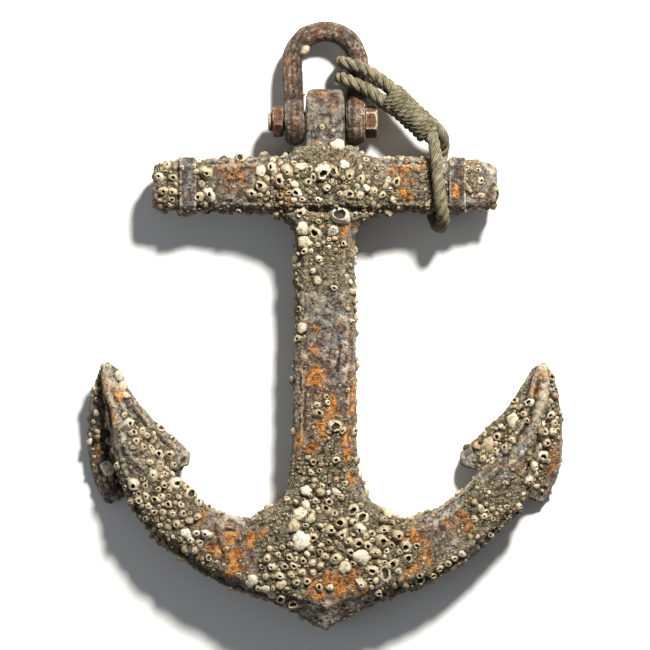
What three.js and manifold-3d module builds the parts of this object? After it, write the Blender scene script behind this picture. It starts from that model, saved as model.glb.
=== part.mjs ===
// A small stocked mooring anchor lying on its back, with its shackle, a rope
// lashed between the shackle and the stock, and the barnacles grown on it.
//
// Frame: +X along the stock, +Y along the shank towards the shackle, +Z up out
// of the face that looks up. The anchor lies on Z = 0. Millimetres.
//
// Profiles are drawn in modules of M millimetres from the shank's centre line
// (x) and the middle of the overall length (y).

import * as THREE from "three";
import { mergeVertices } from "three/addons/utils/BufferGeometryUtils.js";
import Module from "manifold-3d";

const wasm = await Module();
wasm.setup();

// ---------------------------------------------------------------- dimensions
const M = 1.25; // mm in one drawing module
const MID = 32.5; // height of the anchor's middle plane over the floor
const GAP = 0.3; // air between neighbours

const SHANK_HALF_WIDTH = 28.5;
const SHANK_HALF_DEPTH = 25;
const SQUARE_HALF_WIDTH = 19.6; // the shank's square end, through the stock
const SQUARE_HALF_DEPTH = 22.5;
const SHOULDER_Y = 111; // where the stock seats on the shank
const HEAD_TOP_Y = 235;

const STOCK_Y = 139; // centre line of the stock
const STOCK_HALF_LENGTH = 171;
const STOCK_HALF_HEIGHT = 27.5;
const HOOP_HALF_WIDTH = 8.2;
const HOOP_THICKNESS = 3;
const HOOP_LEFT_X = -137;
const HOOP_RIGHT_X = 132.5;
const KEY_Y = 175.5; // the cross key that holds the stock down

const BOLT_Y = 202.5; // axis of the shackle bolt
const BOLT_RADIUS = 9.6; // M24
const BORE_RADIUS = 10.4;
const HEX_ACROSS_FLATS = 28.8; // 36 mm
const EYE_RADIUS = 24;
const EYE_HALF_WIDTH = 9.7;
const EYE_X = 30.4;
const BOW_ROD_RADIUS = 10.4; // 26 mm rod
const BOW_CENTRE = 58.5; // from the bolt axis to the centre of the bow's arc
const BOW_RADIUS = 33.5;
const SHACKLE_DROOP = THREE.MathUtils.degToRad(8.8); // it lies on its rope

const ROPE_RADIUS = 6.4; // 16 mm rope
const LASHING_TOP = new THREE.Vector3(61.5, 232, 36);
const LASHING_FOOT = new THREE.Vector3(108, 189, 41);

// ------------------------------------------------------------------- helpers
const v3 = (x, y, z) => new THREE.Vector3(x, y, z);

function solid(geometry) {
  const g = geometry.index ? geometry.toNonIndexed() : geometry.clone();
  const bare = new THREE.BufferGeometry().setAttribute(
    "position",
    g.getAttribute("position"),
  );
  const merged = mergeVertices(bare, 1e-4);
  const make = (tri) =>
    new wasm.Manifold(
      new wasm.Mesh({
        numProp: 3,
        vertProperties: merged.attributes.position.array,
        triVerts: tri,
      }),
    );
  const tri = new Uint32Array(merged.index.array);
  let made = make(tri);
  if (made.volume() < 0) {
    for (let i = 0; i < tri.length; i += 3)
      [tri[i + 1], tri[i + 2]] = [tri[i + 2], tri[i + 1]];
    made = make(tri);
  }
  return made;
}

function geometryOf(made) {
  const m = made.getMesh();
  const n = m.numProp;
  const at = new Float32Array(m.numVert * 3);
  for (let i = 0; i < m.numVert; i++)
    at.set(m.vertProperties.subarray(i * n, i * n + 3), i * 3);
  return new THREE.BufferGeometry()
    .setAttribute("position", new THREE.BufferAttribute(at, 3))
    .setIndex(new THREE.BufferAttribute(new Uint32Array(m.triVerts), 1));
}

const join = (...parts) => parts.reduce((a, b) => a.add(b));

// A chamfered rectangle from -1 to 1 both ways, as a shape.
function chamfered(k, kv = k) {
  const s = new THREE.Shape();
  s.moveTo(1, -(1 - kv));
  s.lineTo(1, 1 - kv);
  s.lineTo(1 - k, 1);
  s.lineTo(-(1 - k), 1);
  s.lineTo(-1, 1 - kv);
  s.lineTo(-1, -(1 - kv));
  s.lineTo(-(1 - k), -1);
  s.lineTo(1 - k, -1);
  s.closePath();
  return s;
}

function round(sides, radius = 1) {
  const s = new THREE.Shape();
  for (let i = 0; i < sides; i++) {
    const a = ((i + 0.5) / sides) * 2 * Math.PI;
    if (i === 0) s.moveTo(radius * Math.cos(a), radius * Math.sin(a));
    else s.lineTo(radius * Math.cos(a), radius * Math.sin(a));
  }
  s.closePath();
  return s;
}

// A bar of changing section: each station has a centre c and the two vectors
// u and v that reach from it to the middle of the section's sides.
function bar(stations, shape = chamfered(0.3)) {
  const g = new THREE.ExtrudeGeometry(shape, {
    depth: stations.length - 1,
    steps: stations.length - 1,
    bevelEnabled: false,
  });
  const p = g.getAttribute("position");
  for (let i = 0; i < p.count; i++) {
    const s = stations[Math.round(p.getZ(i))];
    const at = s.c
      .clone()
      .addScaledVector(s.u, p.getX(i))
      .addScaledVector(s.v, p.getY(i));
    p.setXYZ(i, at.x, at.y, at.z);
  }
  return solid(g);
}

// Stations between two edge lines in plan: rows of [ix, iy, ox, oy, half depth],
// smoothed to `n` stations.
function edgeBar(rows, n, shape, z = MID) {
  const inner = new THREE.CatmullRomCurve3(rows.map((r) => v3(r[0], r[1], r[4])));
  const outer = new THREE.CatmullRomCurve3(rows.map((r) => v3(r[2], r[3], r[4])));
  const stations = [];
  for (let i = 0; i < n; i++) {
    const a = inner.getPoint(i / (n - 1));
    const b = outer.getPoint(i / (n - 1));
    stations.push({
      c: v3((a.x + b.x) / 2, (a.y + b.y) / 2, z),
      u: v3((b.x - a.x) / 2, (b.y - a.y) / 2, 0),
      v: v3(0, 0, Math.min(a.z, rows[0][4])),
    });
  }
  return bar(stations, shape);
}

// A tube along points.
function tube(points, radius, sides, steps) {
  const curve = new THREE.CatmullRomCurve3(points, false, "centripetal");
  curve.arcLengthDivisions = 1000;
  return solid(
    new THREE.ExtrudeGeometry(round(sides, radius), {
      steps,
      bevelEnabled: false,
      extrudePath: curve,
    }),
  );
}

// A cylinder or turned shape about an axis along X.
function turnedX(profile, segments, x, y, z) {
  const g = new THREE.LatheGeometry(
    profile.map(([r, h]) => new THREE.Vector2(r, h)),
    segments,
  );
  g.rotateZ(-Math.PI / 2);
  g.translate(x, y, z);
  return solid(g);
}

// ----------------------------------------------- the anchor's single forging
// Arm edges from the crown's centre to the bill, for the arm at -X:
// [inner x, inner y, outer x, outer y, half depth].
const ARM = [
  [0, -168, 0, -304, 32.5],
  [-22, -176, -24, -290, 32.5],
  [-49, -189, -58, -274, 31.5],
  [-75, -196, -93, -263, 28],
  [-99, -192, -126, -245, 25],
  [-122, -180, -155, -224, 22.5],
  [-139, -166, -176, -204, 20.5],
  [-153, -150, -192, -184, 19],
  [-168, -137, -205, -154, 17.5],
  [-186, -111, -212.5, -121, 15],
  [-199.5, -83, -219, -88.5, 12.5],
  [-207, -59.5, -223, -62.5, 10],
  [-214.5, -40, -222.5, -41, 6.5],
];

// The fluke's two blades: rows of [rib x, rib y, edge x, edge y, rib z, edge z,
// rib half thickness, edge half thickness].
const OUTER_BLADE = [
  [-217, -44, -225, -46, 31, 27, 4, 2.6],
  [-214, -60, -233, -66, 31, 19, 5.5, 3.4],
  [-208, -86, -237.5, -94, 31, 10, 6, 4],
  [-199, -114, -238.5, -122, 31, 5, 6, 4.2],
  [-190, -138, -234, -148, 31, 4.6, 6, 4.4],
  [-186, -154, -225, -171, 31, 4.6, 6, 4.4],
  [-184, -164, -219, -180, 31, 6, 6, 3.6],
];
const INNER_BLADE = [
  [-218, -46, -211.5, -41, 31, 28, 4, 2.6],
  [-214, -60, -203, -54, 31, 25, 5.5, 3.4],
  [-208, -86, -185, -82, 31, 20, 6.5, 4],
  [-198, -110, -163, -105, 31, 17, 7, 4.5],
  [-186, -132, -147, -119, 31, 16, 7, 4.8],
  [-177, -146, -136, -130, 31, 17, 7, 4.8],
  [-170, -154, -137, -141, 31, 19, 7, 4],
];

function blade(rows) {
  const n = 13;
  const pick = (k) =>
    new THREE.CatmullRomCurve3(rows.map((r) => v3(r[k[0]], r[k[1]], r[k[2]])));
  const rib = pick([0, 1, 4]);
  const edge = pick([2, 3, 5]);
  const thick = new THREE.CatmullRomCurve3(rows.map((r) => v3(r[6], r[7], 0)));
  // a six-sided section, thin at the edge: x from -1 (rib) to 1 (edge)
  const s = new THREE.Shape();
  s.moveTo(-1, -1);
  s.lineTo(0.86, -1);
  s.lineTo(1, -0.4);
  s.lineTo(1, 0.4);
  s.lineTo(0.86, 1);
  s.lineTo(-1, 1);
  s.closePath();
  const g = new THREE.ExtrudeGeometry(s, {
    depth: n - 1,
    steps: n - 1,
    bevelEnabled: false,
  });
  const p = g.getAttribute("position");
  for (let i = 0; i < p.count; i++) {
    const t = Math.round(p.getZ(i)) / (n - 1);
    const a = rib.getPoint(t);
    const b = edge.getPoint(t);
    const th = thick.getPoint(t);
    const w = (p.getX(i) + 1) / 2;
    const at = a.clone().lerp(b, w);
    at.z += p.getY(i) * (th.x + (th.y - th.x) * w);
    p.setXYZ(i, at.x, at.y, at.z);
  }
  return solid(g);
}

const leftArm = edgeBar(ARM, 34, chamfered(0.34, 0.4)).add(blade(OUTER_BLADE)).add(blade(INNER_BLADE));
const arms = leftArm.add(leftArm.mirror([1, 0, 0]));

// The shank, widening into the arms at its foot and to a shoulder at its top.
const shank = bar(
  [
    [-197, 78, 27],
    [-190, 62, 27],
    [-182, 50, 26.5],
    [-173, 41, 26],
    [-163, 36, 25.8],
    [-150, 33, 25.5],
    [-120, 31, 25.2],
    [-60, 29.8, 25],
    [0, 29, 24.6],
    [50, 28.2, 24.4],
    [88, SHANK_HALF_WIDTH, 24.4],
    [96, 31, 25],
    [103, 37, 26],
    [108, 46, 27],
    [SHOULDER_Y, 49, 27],
  ].map(([y, w, d]) => ({ c: v3(0, y, MID), u: v3(w, 0, 0), v: v3(0, 0, -d) })),
  chamfered(0.24, 0.28),
);
const square = bar(
  [
    [SHOULDER_Y - 6, 0, 0],
    [212, 0, 0],
    [220, 0.1, 1.6],
    [226, 0.5, 4.4],
    [230.5, 1.4, 8],
    [233.5, 2.8, 12.4],
    [HEAD_TOP_Y, 5, 17],
  ].map(([y, w, d]) => ({
    c: v3(0, y, MID),
    u: v3(SQUARE_HALF_WIDTH - w, 0, 0),
    v: v3(0, 0, -(SQUARE_HALF_DEPTH - d)),
  })),
  chamfered(0.16, 0.2),
);
const KEY_HALF = [5, 2.6]; // half depth, half height of the cross key
const box = (w, h, d, x, y, z) => {
  const g = new THREE.BoxGeometry(w, h, d);
  g.translate(x, y, z);
  return solid(g);
};
const keySlot = box(200, 2 * (KEY_HALF[1] + GAP), 2 * (KEY_HALF[0] + GAP), 0, KEY_Y, MID);
const bore = turnedX(
  [
    [0, -60],
    [BORE_RADIUS, -60],
    [BORE_RADIUS, 60],
    [0, 60],
  ],
  24,
  0,
  BOLT_Y,
  MID,
);
const forging = join(arms, shank, square).subtract(bore).subtract(keySlot);

// ------------------------------------------------------------------ the stock
// rows of [x, lower y, upper y, half depth]
const STOCK = [
  [-171, 122, 156, 15],
  [-168, 119, 159, 17],
  [-163, 117, 161, 17.6],
  [-148, 115.5, 163, 18.6],
  [-122, 114.5, 164, 18.8],
  [-100, 114, 164.5, 20.5],
  [-60, 112.8, 165.5, 26.5],
  [-34, 112, 167, 32.5],
  [34, 112, 167, 32.5],
  [60, 112.8, 165.5, 26.5],
  [100, 114, 164.5, 19.6],
  [118, 114.5, 164, 18.8],
  [144, 115.5, 163, 18.6],
  [163, 117, 161, 17.6],
  [168, 119, 159, 17],
  [171, 122, 156, 15],
];
const stockBar = bar(
  STOCK.map(([x, lo, hi, d]) => ({
    c: v3(x, (lo + hi) / 2, MID),
    u: v3(0, (hi - lo) / 2, 0),
    v: v3(0, 0, d),
  })),
  chamfered(0.26, 0.3),
);
const stockBoss = bar(
  [
    [160, 44, 31],
    [166, 40, 31],
    [170, 34.5, 30],
    [174, 30, 28.6],
    [177.6, 27, 27],
  ].map(([y, w, d]) => ({ c: v3(0, y, MID), u: v3(w, 0, 0), v: v3(0, 0, -d) })),
  chamfered(0.22, 0.26),
);
const mortise = bar(
  [100, 200].map((y) => ({
    c: v3(0, y, MID),
    u: v3(SQUARE_HALF_WIDTH + GAP, 0, 0),
    v: v3(0, 0, -(SQUARE_HALF_DEPTH + GAP)),
  })),
  chamfered(0.16, 0.2),
);
const stock = join(stockBar, stockBoss)
  .subtract(mortise)
  .subtract(keySlot)
  .subtract(box(120, 20, 80, 0, SHOULDER_Y + GAP - 10, MID));

function hoop(x) {
  const at = (grow, w) =>
    bar(
      [x - w, x + w].map((s) => ({
        c: v3(s, STOCK_Y, MID),
        u: v3(0, 24.8 + grow, 0),
        v: v3(0, 0, 18.8 + grow),
      })),
      chamfered(0.27, 0.3),
    );
  return at(HOOP_THICKNESS, HOOP_HALF_WIDTH).subtract(at(GAP, HOOP_HALF_WIDTH + 5));
}
// The stock is held to one even section under each hoop.
function evenUnder(x) {
  const far = (grow) =>
    bar(
      [x - HOOP_HALF_WIDTH - 1, x + HOOP_HALF_WIDTH + 1].map((s) => ({
        c: v3(s, STOCK_Y, MID),
        u: v3(0, 24.8 + grow, 0),
        v: v3(0, 0, 18.8 + grow),
      })),
      chamfered(0.27, 0.3),
    );
  return far(20).subtract(far(0).scale([1, 1, 1]));
}
const stockFinished = stock
  .subtract(evenUnder(HOOP_LEFT_X))
  .subtract(evenUnder(HOOP_RIGHT_X));

const key = bar(
  [
    [-31, 0.8],
    [-30, 0.2],
    [33, 0],
    [34, 0.6],
  ].map(([x, less]) => ({
    c: v3(x, KEY_Y, MID),
    u: v3(0, KEY_HALF[1] - less * 0.5, 0),
    v: v3(0, 0, KEY_HALF[0] - less),
  })),
  chamfered(0.2, 0.2),
);

// ---------------------------------------------------------------- the shackle
// Built upright about the bolt axis at the origin, then turned by its droop.
function placeShackle(made) {
  const turn = new THREE.Matrix4()
    .makeTranslation(0, BOLT_Y, MID)
    .multiply(new THREE.Matrix4().makeRotationX(-SHACKLE_DROOP));
  return made.transform(turn.toArray());
}
const bowLine = [];
for (const [x, y] of [
  [EYE_X, 4],
  [EYE_X + 0.2, 14],
  [EYE_X + 0.8, 26],
  [EYE_X + 2, 40],
])
  bowLine.push(v3(x, y, 0));
for (let i = 0; i <= 12; i++) {
  const a = (i / 12) * Math.PI;
  bowLine.push(
    v3(BOW_RADIUS * Math.cos(a), BOW_CENTRE + BOW_RADIUS * Math.sin(a), 0),
  );
}
for (const [x, y] of [
  [-EYE_X - 2, 40],
  [-EYE_X - 0.8, 26],
  [-EYE_X - 0.2, 14],
  [-EYE_X, 4],
])
  bowLine.push(v3(x, y, 0));
const bow = tube(bowLine, BOW_ROD_RADIUS, 12, 34);
const eye = (x) =>
  turnedX(
    [
      [0, -EYE_HALF_WIDTH],
      [EYE_RADIUS - 5, -EYE_HALF_WIDTH],
      [EYE_RADIUS - 1.4, -EYE_HALF_WIDTH + 3.6],
      [EYE_RADIUS, 0],
      [EYE_RADIUS - 1.4, EYE_HALF_WIDTH - 3.6],
      [EYE_RADIUS - 5, EYE_HALF_WIDTH],
      [0, EYE_HALF_WIDTH],
    ],
    28,
    x,
    0,
    0,
  );
const eyeHole = turnedX(
  [
    [0, -90],
    [BOLT_RADIUS + GAP, -90],
    [BOLT_RADIUS + GAP, 90],
    [0, 90],
  ],
  24,
  0,
  0,
  0,
);
// the rod may not stand out of the eyes' inner faces
const jaw = box(2 * (EYE_X - EYE_HALF_WIDTH), 60, 80, 0, 0, 0);
// a flat seat round each hole for the head and the nut
const seat = (side) =>
  turnedX(
    [
      [0, -8],
      [EYE_RADIUS - 4.6, -8],
      [EYE_RADIUS - 4.6, 8],
      [0, 8],
    ],
    28,
    side * (EYE_X + EYE_HALF_WIDTH + 8),
    0,
    0,
  );
const shackle = placeShackle(
  join(bow, eye(EYE_X), eye(-EYE_X))
    .subtract(eyeHole)
    .subtract(jaw)
    .subtract(seat(1))
    .subtract(seat(-1)),
);

function hex(x0, x1, turn, chamfer) {
  const r = HEX_ACROSS_FLATS / Math.sqrt(3);
  const prism = new THREE.CylinderGeometry(r, r, x1 - x0, 6);
  prism.rotateY(turn);
  prism.rotateZ(-Math.PI / 2);
  prism.translate((x0 + x1) / 2, 0, 0);
  const c = (x1 - x0) / 2;
  const dome = turnedX(
    [
      [0, -c],
      [r - (chamfer[0] ? 2.4 : 0), -c],
      [r + 0.2, -c + 2.2],
      [r + 0.2, c - 2.2],
      [r - (chamfer[1] ? 2.4 : 0), c],
      [0, c],
    ],
    36,
    (x0 + x1) / 2,
    0,
    0,
  );
  return solid(prism).intersect(dome);
}
const boltShank = turnedX(
  [
    [0, -57],
    [BOLT_RADIUS - 1.4, -57],
    [BOLT_RADIUS, -55.6],
    [BOLT_RADIUS, 41],
    [0, 41],
  ],
  24,
  0,
  0,
  0,
);
const bolt = placeShackle(
  join(boltShank, hex(40.5, 52.5, 0.62, [0, 1])),
);
const nutHole = turnedX(
  [
    [0, -70],
    [BOLT_RADIUS + GAP, -70],
    [BOLT_RADIUS + GAP, -30],
    [0, -30],
  ],
  24,
  0,
  0,
  0,
);
const nut = placeShackle(hex(-52.4, -41.4, 0.35, [1, 1]).subtract(nutHole));

// ------------------------------------------------------------------- the rope
const along = LASHING_FOOT.clone().sub(LASHING_TOP).normalize();
const across = v3(-along.y, along.x, 0).normalize();
const upOf = new THREE.Vector3().crossVectors(along, across).normalize();
function lashing(grow) {
  const rows = [
    [-0.02, 12, 13],
    [0.03, 15.5, 17],
    [0.14, 15.4, 17],
    [0.35, 14.6, 16.4],
    [0.6, 14.2, 15.6],
    [0.85, 14.6, 15.2],
    [0.97, 14.4, 14.8],
    [1.02, 11.5, 12],
  ];
  return bar(
    rows.map(([t, a, b], i) => ({
      c: LASHING_TOP.clone()
        .lerp(LASHING_FOOT, t)
        .addScaledVector(along, i === 0 ? -grow : i === rows.length - 1 ? grow : 0),
      u: across.clone().multiplyScalar(a + grow),
      v: upOf.clone().multiplyScalar(b + grow),
    })),
    round(14),
  );
}
const LASHING_AIR = lashing(0.4);
// Two turns of rope round the right leg of the shackle: over its front, round
// its inner side and back behind it.
function legAt(y) {
  const s = (y - BOLT_Y) / Math.cos(SHACKLE_DROOP);
  const up = Math.max(0, s - BOW_CENTRE);
  const x =
    s < 40
      ? EYE_X + 0.8 + ((s - 26) / 14) * 1.2
      : s < BOW_CENTRE
        ? EYE_X + 2 + ((s - 40) / (BOW_CENTRE - 40)) * (BOW_RADIUS - EYE_X - 2)
        : Math.sqrt(BOW_RADIUS ** 2 - up ** 2);
  return [x, MID - s * Math.sin(SHACKLE_DROOP)];
}
const WRAP = BOW_ROD_RADIUS + ROPE_RADIUS + 0.5;
function turnRound(front, left, back, runIn, runOut) {
  const rows = [];
  for (let i = 0; i <= 8; i++) {
    const a = (i / 8) * Math.PI;
    const y =
      i < 4
        ? front + (left - front) * Math.sin(a)
        : back + (left - back) * Math.sin(a);
    const [cx, cz] = legAt(y);
    rows.push([cx - WRAP * Math.sin(a), y, cz + WRAP * Math.cos(a)]);
  }
  return [...runIn, ...rows, ...runOut];
}
const UPPER_TURN = turnRound(
  258,
  262.5,
  257,
  [
    [76, 228, 41.6],
    [66, 236.5, 42.6],
    [56, 244.5, 43],
    [45, 252, 43],
  ],
  [
    [45, 250.5, 9],
    [55, 243.5, 14.5],
    [64, 236.5, 24],
    [74, 227.5, 32.5],
  ],
);
const LOWER_TURN = turnRound(
  239.5,
  247,
  241.5,
  [
    [69, 214.5, 42.4],
    [59, 222.5, 43.6],
    [48.5, 230, 44.6],
    [40.5, 235.5, 44.4],
  ],
  [
    [44, 235.5, 11],
    [50, 229.5, 16],
    [57, 223, 24.5],
    [67, 215, 32],
  ],
);
const STOCK_LOOP = [
  [102, 197, 46],
  [106.5, 189, 49],
  [108.5, 181, 55.5],
  [110, 172.5, 59.2],
  [111, 162, 59.9],
  [113, 140, 59.9],
  [115.5, 120, 59.2],
  [117.5, 109.5, 54],
  [117.5, 102, 45],
  [116, 98.2, 33],
  [113, 99.5, 21.5],
  [110, 107, 11.5],
  [109, 119, 6.95],
  [111.5, 139, 6.85],
  [114.5, 157, 6.95],
  [117.5, 169.5, 9.2],
  [119, 179.5, 16],
  [117.5, 188.5, 25.5],
  [112.5, 195.5, 32.5],
  [105, 201, 36],
];
const ropeLine = (rows) => rows.map((r) => v3(...r));
const upperTurn = tube(ropeLine(UPPER_TURN), ROPE_RADIUS, 8, 26).subtract(LASHING_AIR);
const lowerTurn = tube(ropeLine(LOWER_TURN), ROPE_RADIUS, 8, 26).subtract(LASHING_AIR);
const stockLoop = tube(ropeLine(STOCK_LOOP), ROPE_RADIUS, 8, 36).subtract(LASHING_AIR);

// -------------------------------------------------------------- the materials
const rust = { color: 0x5b4a40, roughness: 0.9, metalness: 0.25 };
const material = {
  forging: new THREE.MeshStandardMaterial(rust),
  stock: new THREE.MeshStandardMaterial({ ...rust, color: 0x64503f }),
  hoop: new THREE.MeshStandardMaterial({ ...rust, color: 0x5a5353 }),
  shackle: new THREE.MeshStandardMaterial({ ...rust, color: 0x5d4b45 }),
  bolt: new THREE.MeshStandardMaterial({ ...rust, color: 0x6b4632 }),
  rope: new THREE.MeshStandardMaterial({ color: 0x8b8468, roughness: 0.95, metalness: 0 }),
  shell: new THREE.MeshStandardMaterial({ color: 0xc9bfa6, roughness: 0.85, metalness: 0 }),
};

const anchor = new THREE.Group();
anchor.name = "barnacled_anchor";
function node(name, made, mat, parent = anchor) {
  const g = geometryOf(made);
  g.scale(M, M, M);
  g.computeVertexNormals();
  const mesh = new THREE.Mesh(g, mat);
  mesh.name = name;
  parent.add(mesh);
  return mesh;
}

node("anchor_forging", forging, material.forging);
node("stock", stockFinished, material.stock);
node("stock_key", key, material.hoop);
node("hoop_left", hoop(HOOP_LEFT_X), material.hoop);
node("hoop_right", hoop(HOOP_RIGHT_X), material.hoop);
const swing = new THREE.Group();
swing.name = "shackle";
anchor.add(swing);
node("shackle_bow", shackle, material.shackle, swing);
node("shackle_bolt", bolt, material.bolt, swing);
node("shackle_nut", nut, material.bolt, swing);
node("rope_upper_turn", upperTurn, material.rope);
node("rope_lower_turn", lowerTurn, material.rope);
node("rope_stock_loop", stockLoop, material.rope);
node("rope_lashing", lashing(0), material.rope);

// --------------------------------------------------------------- the barnacles
// The largest shells, each its own solid cemented to what it grew on. A cone is
// an acorn barnacle with its mouth open; a dome is a limpet.
// [name, host, x, y, radius, height, kind]
const SHELLS = [
  ["shell_stock_01", "stock", -3, 150, 9, 8.5, "cone"],
  ["shell_stock_02", "stock", -53, 153.5, 7.5, 7, "cone"],
  ["shell_stock_03", "stock", -38, 153, 7.2, 7, "cone"],
  ["shell_stock_04", "stock", -46, 141, 6.6, 6.5, "cone"],
  ["shell_stock_05", "stock", -63, 137, 6.8, 7, "cone"],
  ["shell_stock_06", "stock", -119, 150.5, 8.6, 8, "cone"],
  ["shell_stock_07", "stock", -116, 129, 8, 7.5, "cone"],
  ["shell_stock_08", "stock", -31, 131, 6.4, 6, "dome"],
  ["shell_stock_09", "stock", -164, 145, 5.8, 5.5, "cone"],
  ["shell_stock_10", "stock", 150, 144, 5.6, 5.5, "cone"],
  ["shell_stock_11", "stock", -29, 143.5, 7, 6.5, "cone"],
  ["shell_neck_01", "stock", 13, 176.5, 7.2, 6.5, "dome"],
  ["shell_shank_01", "anchor_forging", 13, 106.2, 10.5, 8.5, "cone"],
  ["shell_shank_02", "anchor_forging", -9.5, 89.5, 8.4, 7.5, "cone"],
  ["shell_shank_03", "anchor_forging", 8.5, 92, 5.4, 5.5, "cone"],
  ["shell_shank_04", "anchor_forging", -20, 82, 7.4, 6.5, "dome"],
  ["shell_shank_05", "anchor_forging", -5, 64, 5.4, 5, "cone"],
  ["shell_shank_06", "anchor_forging", -12, -88, 6, 5, "cone"],
  ["shell_crown_01", "anchor_forging", -24, -214, 10, 7.5, "dome"],
  ["shell_crown_02", "anchor_forging", 37, -234, 9, 8, "dome"],
  ["shell_crown_03", "anchor_forging", 33, -203, 8, 8, "cone"],
  ["shell_crown_04", "anchor_forging", 16, -207, 7, 7, "cone"],
  ["shell_crown_05", "anchor_forging", 60, -214, 7.2, 7, "cone"],
  ["shell_crown_06", "anchor_forging", 12, -186, 6.6, 6.5, "cone"],
  ["shell_crown_07", "anchor_forging", 47, -250, 7.4, 7, "cone"],
  ["shell_crown_08", "anchor_forging", -54, -241, 7, 6.5, "cone"],
  ["shell_crown_09", "anchor_forging", -6, -243, 7, 6.5, "cone"],
  ["shell_crown_10", "anchor_forging", 21, -245, 7, 6, "cone"],
  ["shell_arm_01", "anchor_forging", -117, -208, 6.4, 6, "cone"],
  ["shell_arm_02", "anchor_forging", 80, -223, 6.2, 6, "cone"],
  ["shell_fluke_01", "anchor_forging", -218, -143, 7.6, 6, "dome"],
  ["shell_fluke_02", "anchor_forging", 190, -101, 8.6, 7, "dome"],
  ["shell_fluke_03", "anchor_forging", -196.5, -99, 6.6, 6, "cone"],
  ["shell_fluke_04", "anchor_forging", 162.5, -119.5, 8, 6.5, "dome"],
];
const shellHost = { anchor_forging: forging, stock: stockFinished };
const obstacles = [
  forging,
  stockFinished,
  key,
  hoop(HOOP_LEFT_X),
  hoop(HOOP_RIGHT_X),
  stockLoop,
];
const caster = new THREE.Raycaster();
function shell([name, host, x, y, r, h, kind]) {
  const target = new THREE.Mesh(geometryOf(shellHost[host]), material.shell);
  const normal = v3(0, 0, 0);
  let at = null;
  for (const [dx, dy] of [
    [0, 0],
    [0.5, 0],
    [-0.5, 0],
    [0, 0.5],
    [0, -0.5],
  ]) {
    caster.set(v3(x + dx * r, y + dy * r, 200), v3(0, 0, -1));
    const hit = caster.intersectObject(target)[0];
    if (!hit) continue;
    normal.add(hit.face.normal);
    if (dx === 0 && dy === 0) at = hit.point.clone();
  }
  normal.normalize();
  const profile =
    kind === "cone"
      ? [
          [0, -2.4],
          [r, -2.4],
          [r * 0.98, 0],
          [r * 0.6, h],
          [r * 0.42, h],
          [r * 0.3, h * 0.45],
          [0, h * 0.38],
        ]
      : [
          [0, -2.4],
          [r, -2.4],
          [r * 0.98, 0],
          [r * 0.8, h * 0.5],
          [r * 0.42, h * 0.9],
          [0, h],
        ];
  const g = new THREE.LatheGeometry(
    profile.map(([a, b]) => new THREE.Vector2(a, b)),
    11,
  );
  g.rotateX(Math.PI / 2);
  g.applyQuaternion(new THREE.Quaternion().setFromUnitVectors(v3(0, 0, 1), normal));
  g.translate(at.x, at.y, at.z);
  let cut = solid(g);
  // everything near, grown by the gap each way, is cut away
  const near = box(4 * r, 4 * r, 60, at.x, at.y, at.z);
  for (const other of obstacles) {
    const patch = other.intersect(near);
    if (patch.isEmpty()) continue;
    for (const [i, j, k] of [
      [1, 0, 0],
      [-1, 0, 0],
      [0, 1, 0],
      [0, -1, 0],
      [0, 0, 1],
      [0, 0, 0],
    ])
      cut = cut.subtract(patch.translate([i * GAP, j * GAP, k * GAP]));
  }
  const made = cut.decompose().sort((a, b) => b.volume() - a.volume())[0];
  obstacles.push(made);
  return made;
}
for (const row of SHELLS) node(row[0], shell(row), material.shell);

export default anchor;
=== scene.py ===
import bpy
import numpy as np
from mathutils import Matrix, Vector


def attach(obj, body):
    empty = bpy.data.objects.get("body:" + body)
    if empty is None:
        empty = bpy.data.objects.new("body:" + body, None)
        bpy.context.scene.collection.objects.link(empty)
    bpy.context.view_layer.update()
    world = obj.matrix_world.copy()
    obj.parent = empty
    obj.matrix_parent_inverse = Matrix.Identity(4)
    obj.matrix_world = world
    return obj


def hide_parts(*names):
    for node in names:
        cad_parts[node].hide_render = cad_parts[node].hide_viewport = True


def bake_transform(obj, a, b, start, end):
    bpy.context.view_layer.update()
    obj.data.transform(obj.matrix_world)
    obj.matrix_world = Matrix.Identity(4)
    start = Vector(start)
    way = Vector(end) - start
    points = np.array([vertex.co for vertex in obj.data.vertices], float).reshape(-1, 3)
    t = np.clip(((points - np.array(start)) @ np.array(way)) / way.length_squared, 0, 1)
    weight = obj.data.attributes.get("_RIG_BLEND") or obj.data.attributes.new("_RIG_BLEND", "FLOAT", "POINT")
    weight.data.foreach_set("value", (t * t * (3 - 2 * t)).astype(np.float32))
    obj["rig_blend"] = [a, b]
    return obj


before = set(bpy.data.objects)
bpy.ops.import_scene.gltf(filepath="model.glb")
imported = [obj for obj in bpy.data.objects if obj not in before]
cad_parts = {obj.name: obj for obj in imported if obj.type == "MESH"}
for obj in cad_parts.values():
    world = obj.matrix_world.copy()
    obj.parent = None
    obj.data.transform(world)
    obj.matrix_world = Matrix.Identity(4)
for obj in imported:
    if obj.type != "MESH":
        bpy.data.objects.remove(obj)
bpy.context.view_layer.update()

import math

import bpy
import numpy as np
from mathutils import Vector
from mathutils.bvhtree import BVHTree

U = 0.00125  # one drawing module, in metres
MID = 32.5  # height of the middle plane, in modules
RNG = np.random.default_rng(20417)

# ============================================================ camera and stage
scene = bpy.context.scene
cam_data = bpy.data.cameras.new("camera")
cam_data.sensor_width = 36.0
CAM_DIST = 9.0
CAM_PLANE = 40 * U
cam_data.lens = 36.0 * CAM_DIST / (650 * U)
cam_data.clip_start = 0.05
cam_data.clip_end = 50
cam = bpy.data.objects.new("camera", cam_data)
cam.location = (0.0, -1.0 * U, CAM_PLANE + CAM_DIST)
cam.rotation_euler = (0, 0, 0)
scene.collection.objects.link(cam)
scene.camera = cam

scene.view_settings.view_transform = "Standard"
scene.view_settings.look = "None"
scene.view_settings.exposure = 0.0
scene.view_settings.gamma = 1.0

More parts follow.
